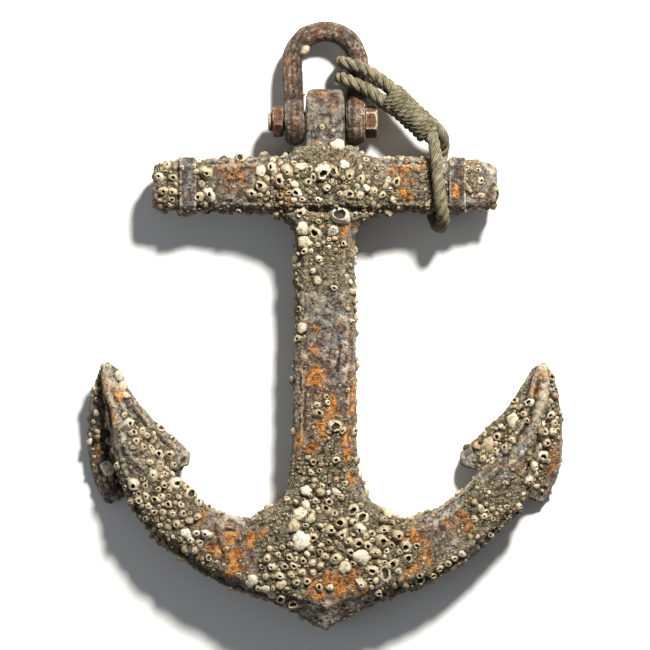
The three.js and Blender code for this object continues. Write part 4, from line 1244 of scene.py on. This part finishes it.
# =============================================================== the barnacles
# Shells placed one by one: (x, y, radius, kind, tone), in the same square.
# Kinds: c open cone, d dome, b broken cup.
PLACED = [
    (322, 172, 9.5, "c", 0.95), (338, 146, 7.2, "d", 0.9), (272, 170, 7.4, "c", 0.8),
    (287, 171, 8, "c", 0.6), (279, 181, 7.4, "c", 0.6), (262, 187, 7, "c", 0.55),
    (206, 173, 9, "c", 0.6), (209, 195, 8, "c", 0.85), (252, 194, 7, "c", 0.6),
    (261, 171, 6.5, "d", 0.85), (160, 177, 6.4, "c", 0.9), (167, 166, 5.4, "c", 0.7),
    (173, 178, 5, "c", 0.6), (163, 191, 6, "c", 0.6), (173, 192, 5.6, "c", 0.65),
    (340, 216, 11, "b", 0.9), (300, 212, 7.4, "c", 0.8), (344, 165, 5.4, "d", 0.97),
    (350, 175, 6.4, "c", 0.55), (333, 172, 7, "b", 0.5), (297, 193, 6.4, "c", 0.85),
    (366, 160, 4.4, "c", 0.6), (300, 167, 5, "d", 0.85), (308, 183, 5.4, "c", 0.6),
    (302, 200, 4, "c", 0.7), (314, 178, 5, "c", 0.6), (326, 188, 4.6, "c", 0.7),
    (305, 166, 3.4, "c", 0.7), (281, 164, 4, "c", 0.65), (294, 164, 4, "c", 0.65),
    (385, 187, 3.6, "c", 0.6), (396, 183, 6, "c", 0.5), (373, 192, 6, "c", 0.55),
    (348, 195, 6.4, "c", 0.5), (382, 196, 5, "c", 0.55), (360, 196, 5, "c", 0.6),
    (480, 181, 4.4, "c", 0.85), (478, 171, 3.6, "c", 0.6), (481, 196, 4, "c", 0.6),
    (202, 185, 5, "c", 0.6), (200, 197, 6, "c", 0.7), (196, 172, 3.6, "c", 0.6),
    (182, 168, 3.4, "c", 0.5), (391, 152, 9, "b", 0.7), (240, 158, 6, "b", 0.75),
    (314, 234, 9, "c", 0.75), (333, 231, 6.4, "c", 0.97), (303, 229, 7, "d", 0.85),
    (305, 242, 7.4, "d", 0.75), (319, 259, 5, "c", 0.8), (313, 271, 4, "c", 0.7),
    (317, 281, 5, "d", 0.7), (334, 288, 4, "c", 0.6), (298, 338, 5, "c", 0.6),
    (356, 299, 5, "c", 0.7), (344, 244, 4, "c", 0.6), (311, 251, 3.6, "c", 0.7),
    (357, 395, 7, "b", 0.6), (317, 405, 5, "c", 0.5), (318, 414, 6, "c", 0.5),
    (335, 425, 8, "b", 0.6), (342, 430, 5, "c", 0.6), (329, 432, 4, "c", 0.55),
    (336, 460, 5, "c", 0.8), (354, 432, 5, "c", 0.6), (357, 460, 5, "c", 0.6),
    (288, 476, 7, "b", 0.6), (306, 490, 6, "d", 0.95), (311, 472, 4, "c", 0.6),
    (345, 483, 4, "c", 0.7), (320, 470, 3.6, "c", 0.6), (341, 497, 5, "c", 0.6),
    (329, 502, 5, "c", 0.7), (328, 492, 3.4, "d", 0.9), (345, 470, 3, "c", 0.6),
    (301, 540, 10.5, "d", 0.98), (330, 529, 7, "c", 0.6), (341, 523, 7, "c", 0.6),
    (342, 534, 7.4, "c", 0.65), (360, 529, 8, "c", 0.8), (353, 510, 7.4, "c", 0.75),
    (362, 518, 8, "b", 0.85), (357, 543, 7, "c", 0.6), (368, 545, 6, "c", 0.6),
    (381, 541, 8, "c", 0.6), (397, 534, 6.4, "c", 0.6), (375, 552, 7.4, "c", 0.6),
    (392, 565, 7.4, "c", 0.65), (361, 557, 9, "d", 0.9), (406, 546, 7.4, "c", 0.75),
    (407, 559, 7, "c", 0.6), (345, 567, 7, "d", 0.8), (336, 558, 7, "c", 0.7),
    (325, 556, 5, "c", 0.6), (300, 513, 8, "d", 0.85), (306, 505, 5, "d", 0.9),
    (294, 525, 7, "d", 0.6), (313, 537, 6, "c", 0.6), (372, 571, 8, "c", 0.75),
    (385, 574, 8, "b", 0.85), (378, 592, 4.6, "c", 0.8), (361, 583, 7, "c", 0.8),
    (330, 587, 4.6, "c", 0.8), (319, 587, 5, "c", 0.7), (252, 580, 7, "d", 0.92),
    (259, 587, 5, "c", 0.85), (266, 588, 5.4, "d", 0.92), (273, 592, 6, "d", 0.8),
    (281, 598, 6, "b", 0.8), (294, 604, 6.6, "b", 0.6), (349, 541, 6, "c", 0.6),
    (384, 529, 6, "c", 0.6), (372, 533, 5, "c", 0.5), (326, 510, 6, "c", 0.7),
    (334, 513, 5, "c", 0.6), (316, 500, 5, "c", 0.6), (350, 552, 5, "c", 0.6),
    (398, 571, 5, "c", 0.6), (366, 536, 5, "c", 0.6), (400, 552, 5, "c", 0.6),
    (267, 558, 5.4, "c", 0.75), (278, 555, 4.6, "c", 0.7), (290, 556, 5, "c", 0.6),
    (273, 566, 5.4, "c", 0.75), (284, 566, 4.6, "c", 0.7), (294, 565, 4.6, "c", 0.7),
    (303, 560, 5, "c", 0.65), (312, 562, 5, "c", 0.7), (280, 575, 5.4, "c", 0.7),
    (291, 574, 5, "c", 0.75), (302, 572, 5.4, "c", 0.7), (313, 572, 4.6, "c", 0.7),
    (320, 565, 4.6, "c", 0.7), (296, 582, 5, "c", 0.6), (262, 566, 4, "c", 0.6),
    (307, 580, 4.6, "c", 0.6), (270, 548, 4, "c", 0.6), (282, 547, 4, "c", 0.6),
    (207, 534, 6.4, "c", 0.95), (196, 533, 5, "c", 0.8), (186, 533, 6, "d", 0.95),
    (191, 540, 5, "c", 0.8), (226, 549, 3.6, "c", 0.6), (169, 504, 5, "c", 0.6),
    (155, 500, 6, "c", 0.7), (149, 506, 5, "c", 0.75), (162, 497, 5, "c", 0.7),
    (172, 514, 5.4, "c", 0.7), (182, 514, 5, "c", 0.6), (190, 520, 5, "c", 0.65),
    (177, 524, 5, "c", 0.6), (163, 512, 5, "c", 0.7), (154, 512, 4.6, "c", 0.6),
    (146, 496, 5, "c", 0.65), (139, 500, 5, "c", 0.75), (134, 484, 7, "c", 0.85),
    (153, 476, 7, "c", 0.75), (165, 474, 5, "c", 0.7), (175, 483, 8, "c", 0.85),
    (185, 487, 5, "c", 0.7), (191, 494, 7.4, "b", 0.7), (206, 504, 6, "b", 0.7),
    (170, 490, 4, "c", 0.6), (145, 486, 4, "c", 0.6), (158, 490, 4.4, "c", 0.6),
    (158, 455, 6.4, "c", 0.95), (169, 455, 6.4, "c", 0.7), (150, 462, 5, "c", 0.6),
    (160, 466, 6, "c", 0.65), (173, 466, 5, "c", 0.6), (143, 447, 5, "c", 0.6),
    (128, 424, 7, "c", 0.9), (133, 433, 5, "c", 0.75), (142, 431, 5, "c", 0.75),
    (146, 436, 4.6, "c", 0.7), (136, 441, 4.6, "c", 0.7), (124, 415, 4, "c", 0.6),
    (108, 441, 4.6, "c", 0.9), (113, 450, 4.2, "d", 0.9), (118, 466, 5, "c", 0.6),
    (107, 468, 8.4, "d", 1.15), (96, 413, 3.8, "d", 0.9), (98, 389, 3.6, "c", 0.7),
    (97, 400, 3.6, "c", 0.7), (97, 432, 4, "c", 0.6), (93, 422, 3.4, "c", 0.6),
    (126, 488, 4, "c", 0.6), (119, 376, 6, "d", 0.8), (122, 386, 6, "d", 0.75), (126, 395, 4.6, "d", 0.7), (160, 428, 5, "b", 0.75),
    (172, 439, 4.4, "b", 0.7),
    (514, 423, 8.6, "d", 0.8), (488, 446, 8, "d", 0.6), (529, 403, 5.6, "c", 0.9),
    (524, 414, 4.4, "c", 0.6), (512, 440, 5, "c", 0.7), (497, 437, 5.4, "c", 0.6),
    (504, 449, 5.4, "c", 0.6), (496, 452, 5, "c", 0.55), (551, 416, 5.4, "c", 0.8),
    (545, 432, 5.4, "c", 0.7), (543, 457, 7, "c", 0.85),
    (534, 466, 5.4, "c", 0.8), (529, 480, 6, "c", 0.8), (547, 443, 4.6, "c", 0.7),
    (539, 447, 4.6, "c", 0.6), (536, 475, 4.4, "c", 0.7), (551, 402, 4, "c", 0.6),
    (519, 390, 4, "c", 0.6), (516, 401, 4.6, "c", 0.6),
    (527, 421, 4, "c", 0.7), (483, 459, 5, "c", 0.6), (491, 462, 4, "c", 0.6),
    (484, 516, 4.6, "c", 0.75), (474, 519, 5, "c", 0.7), (518, 506, 4.6, "c", 0.7),
    (505, 483, 4, "c", 0.5), (490, 535, 4, "c", 0.5),
    (388, 513, 5.6, "d", 0.75), (401, 515, 6, "d", 0.7), (416, 513, 8.4, "d", 0.85),
    (454, 558, 4.6, "c", 0.7), (447, 563, 4.6, "c", 0.7), (462, 553, 4.6, "d", 0.85),
    (439, 568, 4.6, "c", 0.6), (432, 575, 5, "c", 0.6), (420, 580, 6, "b", 0.7),
    (322, 128, 4.2, "c", 0.5), (333, 131, 2.6, "d", 0.4),
]
# Where small shells crowd: (x, y, half width, half height, turn, share of ground)
CROWD = [
    (316, 186, 62, 23, 0, 0.75), (280, 182, 30, 22, 0, 0.9), (168, 180, 13, 25, 0, 0.9),
    (203, 184, 7, 24, 0, 0.9), (425, 190, 20, 14, 0, 0.5), (380, 192, 24, 14, 0, 0.6),
    (472, 176, 10, 20, 0, 0.6), (452, 166, 5, 10, 0, 0.5), (320, 240, 26, 26, 0, 0.7),
    (325, 262, 22, 22, 0, 0.35), (300, 300, 5, 50, 0, 0.6), (352, 300, 4, 60, 0, 0.5),
    (320, 405, 10, 12, 0, 0.6), (338, 426, 12, 10, 0, 0.8), (342, 385, 9, 10, 0, 0.4),
    (322, 480, 30, 34, 0, 0.6), (320, 535, 60, 40, 0, 0.75), (370, 545, 48, 36, 20, 1.0),
    (290, 567, 34, 18, 0, 0.95), (350, 590, 40, 14, 0, 0.3), (165, 505, 42, 34, 38, 0.95),
    (190, 545, 44, 16, 35, 0.7), (150, 462, 28, 20, 40, 0.8), (138, 432, 18, 12, 50, 0.9),
    (97, 420, 7, 46, 0, 0.75), (110, 480, 9, 18, 0, 0.4), (270, 588, 30, 12, 25, 0.8),
    (490, 512, 36, 26, -42, 0.55), (446, 552, 26, 18, -25, 0.35), (516, 470, 15, 22, -20, 0.4),
    (497, 443, 26, 17, -45, 0.95), (521, 405, 12, 26, -25, 0.85), (545, 435, 14, 56, 5, 0.95),
    (395, 580, 30, 14, -20, 0.5), (440, 572, 40, 9, -28, 0.7), (348, 210, 44, 9, 0, 0.7),
    (295, 212, 34, 9, 0, 0.7), (322, 150, 22, 6, 0, 0.25), (390, 155, 14, 5, 0, 0.8),
    (200, 500, 22, 8, 33, 0.5), (400, 513, 28, 7, 0, 0.7),
]


class Ground:
    """Points on the skins of pieces, to plant shells on."""

    def __init__(self, obs):
        self.v, self.n, self.t = [], [], []
        base = 0
        for o in obs:
            me = o.data
            co, no = arrays_of(me)
            self.v.append(co)
            self.n.append(no)
            self.t.append(triangles_of(me) + base)
            base += len(co)
        self.v, self.n, self.t = np.vstack(self.v), np.vstack(self.n), np.vstack(self.t)
        a, b, c = (self.v[self.t[:, k]] for k in range(3))
        self.area = np.linalg.norm(np.cross(b - a, c - a), axis=1) / 2
        self.cum = np.cumsum(self.area)
        self.tree = BVHTree.FromPolygons(self.v.tolist(), self.t.tolist(), all_triangles=True)

    def scatter(self, count):
        pick = np.searchsorted(self.cum, RNG.random(count) * self.cum[-1])
        r1, r2 = np.sqrt(RNG.random(count)), RNG.random(count)
        w = np.stack([1 - r1, r1 * (1 - r2), r1 * r2], 1)[:, :, None]
        t = self.t[pick]
        return (self.v[t] * w).sum(1), unit((self.n[t] * w).sum(1))

    def drop(self, x, y, r):
        """The place under a point seen from above, and the skin's mean slope there."""
        hit = self.tree.ray_cast(Vector((x, y, 0.4)), Vector((0, 0, -1)))
        if hit[0] is None:
            return None
        n = Vector((0, 0, 0))
        got = []
        for k in range(9):
            a = k * 2.399
            q = 0.75 * r * math.sqrt(k / 8)
            h = self.tree.ray_cast(
                Vector((x + q * math.cos(a), y + q * math.sin(a), 0.4)), Vector((0, 0, -1))
            )
            if h[0] is not None and abs(h[0].z - hit[0].z) < 1.6 * r:
                n += h[1]
                got.append(h[0].z)
        p = np.array(hit[0])
        p[2] = float(np.median(got))
        return p, np.array(n.normalized())


ground = Ground([forging, stock, hoop_l, hoop_r])
ropes = np.vstack([upper_line, lower_line, stock_line,
                   np.linspace(LASH_TOP * U, LASH_FOOT * U, 12)])


class Planted:
    def __init__(self):
        self.p, self.n, self.r, self.h = [], [], [], []
        self.kind, self.tone, self.hue = [], [], []
        self.grid = {}
        self.cell = 0.010

    def clear(self, p, r, pack):
        i, j, k = (int(math.floor(c / self.cell)) for c in p)
        reach = 1 if r < 0.006 else 2
        for a in range(i - reach, i + reach + 1):
            for b in range(j - reach, j + reach + 1):
                for c in range(k - reach, k + reach + 1):
                    for q, s in self.grid.get((a, b, c), ()):
                        d = (q[0] - p[0]) ** 2 + (q[1] - p[1]) ** 2 + (q[2] - p[2]) ** 2
                        if d < (pack * (r + s)) ** 2:
                            return False
        return True

    def add(self, p, n, r, h, kind, tone, hue):
        self.grid.setdefault(tuple(int(math.floor(c / self.cell)) for c in p), []).append((tuple(p), r))
        self.p.append(p)
        self.n.append(n)
        self.r.append(r)
        self.h.append(h)
        self.kind.append(kind)
        self.tone.append(tone)
        self.hue.append(hue)


def allowed(p, n, r, h):
    """False where a shell would foul the floor, the rope or the shackle's swing."""
    x, y, z = p / U
    tip = p + n * h
    if tip[2] < 0.0012 or p[2] < 0.0030 or tip[2] - r * math.sqrt(max(0, 1 - n[2] ** 2)) < 0.0006:
        return False
    if y > 184 and not (abs(x) < 19 and n[2] > 0.5 and r < 5.5 * U):
        return False
    # the shackle's eyes and the rod sweep past here
    if 177 < y and abs(x) > 18.5:
        return False
    if abs(x) > 17 and abs(x) < 48 and y > 168:
        lift = (tip - p)[1] / U
        if y + lift + r / U > 177.5:
            return False
    d = np.min(np.linalg.norm(ropes - p, axis=1))
    if d < r + ROPE_R * U + 0.0018:
        return False
    return True


plants = Planted()
for px, py, r, kind, tone in PLACED:
    x, y, rr = (px - 325) * U, (324 - py) * U, r * U
    got = ground.drop(x, y, rr)
    if got is None:
        continue
    p, n = got
    n = unit(n + np.array([0, 0, 0.35]))
    high = {"c": RNG.uniform(0.75, 1.0), "d": 0.62, "b": 0.62}[kind] * rr
    if not allowed(p, n, rr * 0.8, high):
        continue
    plants.add(p - n * 0.0006, n, rr, high, kind, tone, RNG.uniform(0.2, 0.78))


def crowd_at(co, no):
    p = co / U
    x, y, z = p.T
    up = smooth(0.0, 0.45, no[:, 2])
    top = patches(CROWD, x, y, 83)
    wild = smooth(-0.10, 0.30, fbm(p, 36.0, 3, 401))
    thin = patches(BARE, x, y, 43) * 0.9
    thin2 = patches(ORANGE, x, y, 3) * 0.75
    lower_sides = (1 - up) * (0.35 * top + 0.62 * wild)
    clump = smooth(-0.28, 0.16, fbm(p, 13.0, 2, 431))
    clump2 = smooth(-0.05, 0.2, fbm(p, 9.0, 2, 441))
    out = up * top * clump * (1 - thin * 0.8) * (1 - thin2) + lower_sides * (0.25 + 0.75 * clump2)
    under = smooth(-0.15, -0.5, no[:, 1]) * smooth(100, 106, y) * smooth(134, 126, y) * smooth(24, 40, np.abs(x))
    outer = smooth(-0.15, -0.5, no[:, 1]) * smooth(-150, -190, y) * smooth(0.65, 0.3, no[:, 2])
    out = np.maximum(out, (0.70 * under + 0.45 * outer) * (0.4 + 0.6 * clump2) * smooth(6, 12, z))
    out = out * (1 - 0.55 * up * smooth(0.45, 0.2, top))
    out = out + up * 0.015 * clump2 * (1 - thin * 0.9)
    # pieces that stay clear
    out = out * (1 - smooth(182, 188, y))
    return out


def seed_shells(count, rmin, rmax, pack, power, floor_share=0.0, tone=(0.3, 0.9), keep=1.0):
    co, no = ground.scatter(count)
    dens = crowd_at(co, no)
    go = RNG.random(count) < np.clip((dens - floor_share) * keep, 0, 1) ** power
    co, no = co[go], no[go]
    rr = rmin + (rmax - rmin) * RNG.random(len(co)) ** 1.6
    made = 0
    for p, n, r in zip(co, no, rr * U):
        h = r * RNG.uniform(0.55, 1.25) * (1.0 if r > 2.6 * U else 0.75)
        if not allowed(p, n, r, h) or not plants.clear(p, r, pack):
            continue
        kind = RNG.choice(["c", "d", "b"], p=[0.62, 0.27, 0.11] if r > 2.6 * U else [0.34, 0.56, 0.10])
        lean = unit(n + RNG.normal(0, 0.22, 3))
        # shells on faces turned from the key get a darker tone: painted shade
        away_side_shade = 0.5 if n[1] < -0.3 else 1.0
        plants.add(p - n * 0.0005, lean, r, h, kind, RNG.uniform(*tone) * away_side_shade, RNG.random())
        made += 1
    return made


k = 1.0
made = [
    seed_shells(int(9000 * k), 4.0, 6.2, 0.74, 1.6, 0.15),
    seed_shells(int(26000 * k), 2.6, 4.2, 0.70, 1.2, 0.08),
    seed_shells(int(54000 * k), 1.2, 2.6, 0.70, 0.9, 0.0, (0.04, 0.55)),
]


def shells(name, P, N, R, H, kind, tone, hue, S, fine):
    """Barnacles as one mesh: an open cone of plates round a dark mouth."""
    n = len(P)
    P, N = np.asarray(P), unit(np.asarray(N))
    R, H = np.asarray(R)[:, None, None], np.asarray(H)[:, None, None]
    ref = np.where(np.abs(N[:, 2:3]) < 0.9, [[0, 0, 1.0]], [[1.0, 0, 0]])
    T = unit(np.cross(ref, N))
    spin = RNG.uniform(0, 2 * np.pi, n)[:, None]
    B = np.cross(N, T)
    T, B = T * np.cos(spin) + B * np.sin(spin), B * np.cos(spin) - T * np.sin(spin)
    rnd = lambda a, b: RNG.uniform(a, b, (n, 1, 1))
    dome = (np.asarray(kind) == "d")[:, None, None]
    cup = (np.asarray(kind) == "b")[:, None, None]
    m = np.where(cup, rnd(0.44, 0.58), 0.16 + 0.30 * RNG.random((n, 1, 1)) ** 1.2)
    rim = rnd(0.06, 0.13)
    bulge = rnd(0.85, 1.7)
    m1 = m + rim
    wall = lambda z: m1 + (1 - m1) * (1 - z) ** bulge
    if fine == 2:
        open_rings = [
            (1.05 + 0 * m, -0.55 + 0 * m, 0, 0), (1.0 + 0 * m, 0.03 + 0 * m, 0, 0),
            (wall(0.22), 0.22 + 0 * m, 0, 0.22), (wall(0.5), 0.5 + 0 * m, 0, 0.5),
            (wall(0.8), 0.8 + 0 * m, 0, 0.8), (m1, 1.0 + 0 * m, 0, 1),
            (m1 - rim * 0.45, 1.02 + 0 * m, 0.0, 1), (m, 0.95 + 0 * m, 0.35, 1),
            (m * 0.92, 0.70 + 0 * m, 0.9, 1), (m * 0.72, 0.34 + 0 * m, 1, 1),
        ]
        dome_rings = [
            (1.05, -0.55), (1.0, 0.05), (0.95, 0.28), (0.84, 0.52), (0.68, 0.74),
            (0.50, 0.88), (0.36, 0.95), (0.24, 0.985), (0.15, 1.0), (0.07, 1.0),
        ]
    elif fine == 1:
        open_rings = [
            (1.04 + 0 * m, -0.5 + 0 * m, 0, 0), (1.0 + 0 * m, 0.05 + 0 * m, 0, 0),
            (wall(0.5), 0.5 + 0 * m, 0, 0.5), (m1, 1.0 + 0 * m, 0, 1),
            (m, 0.98 + 0 * m, 0.3, 1), (m * 0.8, 0.45 + 0 * m, 1, 1),
        ]
        dome_rings = [(1.04, -0.5), (1.0, 0.06), (0.85, 0.5), (0.58, 0.84), (0.3, 0.97), (0.1, 1.0)]
    else:
        open_rings = [
            (1.03 + 0 * m, -0.45 + 0 * m, 0, 0), (wall(0.3), 0.3 + 0 * m, 0, 0.3),
            (m1, 1.0 + 0 * m, 0.0, 1), (m * 0.9, 0.75 + 0 * m, 0.9, 1),
        ]
        dome_rings = [(1.03, -0.45), (0.95, 0.3), (0.62, 0.84), (0.2, 1.0)]
    K = len(open_rings)
    th = np.linspace(0, 2 * np.pi, S, endpoint=False)[None, None, :]
    rho = np.concatenate([r[0] for r in open_rings], 1)
    zz = np.concatenate([r[1] for r in open_rings], 1)
    inner = np.array([r[2] for r in open_rings])[None, :, None] * np.ones((n, 1, 1))
    high = np.array([r[3] for r in open_rings])[None, :, None] * np.ones((n, 1, 1))
    drho = np.array([r[0] for r in dome_rings])[None, :, None]
    dzz = np.array([r[1] for r in dome_rings])[None, :, None]
    rho = np.where(dome, drho, rho)
    zz = np.where(dome, dzz, zz)
    inner = np.where(dome, 0.0, inner)
    high = np.where(dome, np.clip(dzz * 0.8, 0, 1), high)
    # plates, ribs and unevenness round the shell
    shape = (
        1
        + rnd(0.04, 0.18) * np.cos(2 * th + rnd(0, 6.3))
        + rnd(0.02, 0.10) * np.cos(3 * th + rnd(0, 6.3))
        + rnd(0.01, 0.06) * np.cos(5 * th + rnd(0, 6.3))
    )
    turn_of = RNG.uniform(0, 1, (n, 1, 1))
    if S >= 12:
        plate = 1 - rnd(0.05, 0.15) * np.exp(-((np.mod(th * 6 / (2 * np.pi) + turn_of, 1) - 0.5) ** 2) * 40)
        ribs = 1 + np.where(dome, 0.01, rnd(0.01, 0.07)) * np.cos(S / 2 * th) * (RNG.uniform(0.2, 1.0, (n, 1, S)))
        shape = shape * plate * ribs
    mouth = 1 + rnd(0.10, 0.38) * np.cos(2 * th + rnd(0, 6.3)) + rnd(0, 0.16) * np.cos(3 * th + rnd(0, 6.3))
    inside = np.clip(inner * 1.5, 0, 1)
    rr = rho * (shape * (1 - inside) + mouth * (0.5 + 0.5 * shape) * inside)
    rr = rr * (1 + RNG.normal(0, 0.035 if S > 9 else 0.08, rr.shape) * np.where(dome, 0.35, 1.0))
    rr = rr * np.where(dome & (S > 12), 1 + 0.022 * np.cos(S / 2 * th) * np.clip(1.2 - zz, 0, 1), 1.0)
    # each plate ends at its own height
    which = np.mod(np.floor(np.mod(th / (2 * np.pi) + turn_of / 6, 1) * 6), 6).astype(int)
    own = RNG.uniform(0, 1, (n, 6)) ** 1.6
    step = np.take_along_axis(own[:, None, :], np.broadcast_to(which, (n, 1, S)), 2)
    crest = 1 - (rnd(0.10, 0.42) * step + RNG.uniform(0, 0.10, (n, 1, S))) * np.clip(high, 0, 1) ** 2
    crest = crest - np.where(cup, 0.45, 0.0) * smooth(0.1, 0.9, np.cos(th + rnd(0, 6.3))) * np.clip(high, 0, 1) * (1 - 0.6 * inner)
    zz2 = np.where(zz > 0, zz * crest, zz) * np.ones_like(rr)
    lean = RNG.normal(0, 0.17, (n, 2))
    top = np.clip(zz2, 0, 1)
    X = rr * R * np.cos(th) + lean[:, :1, None] * top * R
    Y = rr * R * np.sin(th) + lean[:, 1:, None] * top * R
    sink = np.minimum(R * 0.5, 0.0022)
    Z = np.where(zz2 > 0, zz2 * H, zz2 * sink * 2)
    V = (
        P[:, None, None, :]
        + X[..., None] * T[:, None, None, :]
        + Y[..., None] * B[:, None, None, :]
        + Z[..., None] * N[:, None, None, :]
    )
    last = V[:, -1].mean(1)
    foot = V[:, 0].mean(1)
    last = np.where(dome[:, 0, 0][:, None], last, last - N * (H[:, 0, 0] * 0.16)[:, None])
    V = np.concatenate([V.reshape(n, K * S, 3), foot[:, None], last[:, None]], 1)
    full = lambda a, end0, end1: np.concatenate(
        [np.broadcast_to(a, (n, K, S)).reshape(n, K * S), np.full((n, 1), end0), np.full((n, 1), end1)], 1
    )
    din = full(inner, 0, 1)
    din[:, -1] = np.where(dome[:, 0, 0], 0, 1)
    dhi = full(high, 0, 1)
    tones = np.broadcast_to(np.asarray(tone)[:, None], din.shape)
    hues = np.broadcast_to(np.asarray(hue)[:, None], din.shape)
    col = np.stack([tones, din, dhi, hues], 2).reshape(-1, 4)
    per = K * S + 2
    i = np.arange(K - 1)[:, None] * S + np.arange(S)[None, :]
    j = np.arange(K - 1)[:, None] * S + (np.arange(S) + 1)[None, :] % S
    quad = np.stack([i, j, j + S, i + S], -1).reshape(-1, 4)
    e = np.arange(S)
    f = (e + 1) % S
    tri = np.vstack([
        np.stack([f, e, np.full(S, K * S)], 1),
        np.stack([(K - 1) * S + e, (K - 1) * S + f, np.full(S, K * S + 1)], 1),
    ])
    offs = np.arange(n)[:, None, None] * per
    V = V.reshape(-1, 3)
    V[:, 2] = np.maximum(V[:, 2], 0.0002)
    ob = mesh_object(name, V, (quad[None] + offs).reshape(-1, 4), (tri[None] + offs).reshape(-1, 3), {"Shell": col})
    ob.data.materials.append(shell_mat)
    return ob


# dirt, and painted shade, gather round the foot of every shell
from mathutils.kdtree import KDTree

for o in (forging, stock, hoop_l, hoop_r):
    co, _ = arrays_of(o.data)
    tree = KDTree(len(co))
    for i, c in enumerate(co):
        tree.insert(c, i)
    tree.balance()
    dirt = np.zeros(len(co))
    for p, r in zip(plants.p, plants.r):
        reach = 1.0 * r + 0.0026
        for _, i, far in tree.find_range(p, reach):
            v = 1.0 - max(0.0, far - 0.80 * r) / (reach - 0.80 * r)
            if v > dirt[i]:
                dirt[i] = v
    a = o.data.attributes["RustAndHollowShade"]
    val = np.zeros(len(co) * 4, np.float32)
    a.data.foreach_get("color", val)
    val = val.reshape(-1, 4)
    val[:, 3] = np.clip(np.maximum(val[:, 3], dirt * 0.70), 0, 1)
    a.data.foreach_set("color", val.reshape(-1))

A = {k2: np.array(getattr(plants, k2)) for k2 in ("p", "n", "r", "h", "kind", "tone", "hue")}
CLASSES = [("large", 5.6, 99, 24, 2), ("middle", 3.3, 5.6, 14, 1), ("small", 0, 3.3, 7, 0)]
ZONES = [
    ("stock", lambda p: p[:, 1] > 95 * U),
    ("shank", lambda p: (p[:, 1] <= 95 * U) & (p[:, 1] > -165 * U) & (np.abs(p[:, 0]) < 60 * U)),
    ("crown", lambda p: (p[:, 1] <= -165 * U) & (np.abs(p[:, 0]) < 100 * U)),
    ("left_arm", lambda p: (p[:, 0] < 0)),
    ("right_arm", lambda p: (p[:, 0] > -1)),
]
taken = np.zeros(len(A["p"]), bool)
shell_nodes = sorted(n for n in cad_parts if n.startswith("shell_"))
for zname, inside in ZONES:
    here = inside(A["p"]) & ~taken
    taken |= here
    for cname, lo, hi, S, fine in CLASSES:
        sel = here & (A["r"] >= lo * U) & (A["r"] < hi * U)
        if not sel.any():
            continue
        ob = shells(f"barnacles_{zname}_{cname}", A["p"][sel], A["n"][sel], A["r"][sel], A["h"][sel],
                    A["kind"][sel], A["tone"][sel], A["hue"][sel], S, fine)
        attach(ob, "root")
        if cname == "large":
            key = {"stock": ("shell_stock", "shell_neck"), "shank": ("shell_shank",), "crown": ("shell_crown",),
                   "left_arm": (), "right_arm": ("shell_arm", "shell_fluke")}[zname]
            mine = [s for s in shell_nodes if key and s.startswith(key)]
            if mine:
                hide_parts(*mine)

# a few shells ride on the shackle
SH = [(306, 50, 6.2, "d", 0.62), (302, 93, 4.2, "b", 0.95), (304, 88, 3.0, "d", 0.9)]
bow_ground = Ground([bow])
sp, sn, sr, shh, sk, st, shu = [], [], [], [], [], [], []
for px, py, r, kind, tone in SH:
    x, y = (px - 325) * U, (324 - py) * U
    near = bow_ground.tree.find_nearest(Vector((x, y, 27 * U)))
    p, n = np.array(near[0]), np.array(near[1])
    n = unit(n * np.array([1, 1, 0.4]) + np.array([0, 0, 0.25]))
    sp.append(p - n * 0.0008)
    sn.append(n)
    sr.append(r * U)
    shh.append(0.85 * r * U)
    sk.append(kind)
    st.append(tone)
    shu.append(0.4)
ob = shells("barnacles_shackle", sp, sn, sr, shh, np.array(sk), st, shu, 24, 2)
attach(ob, "shackle")
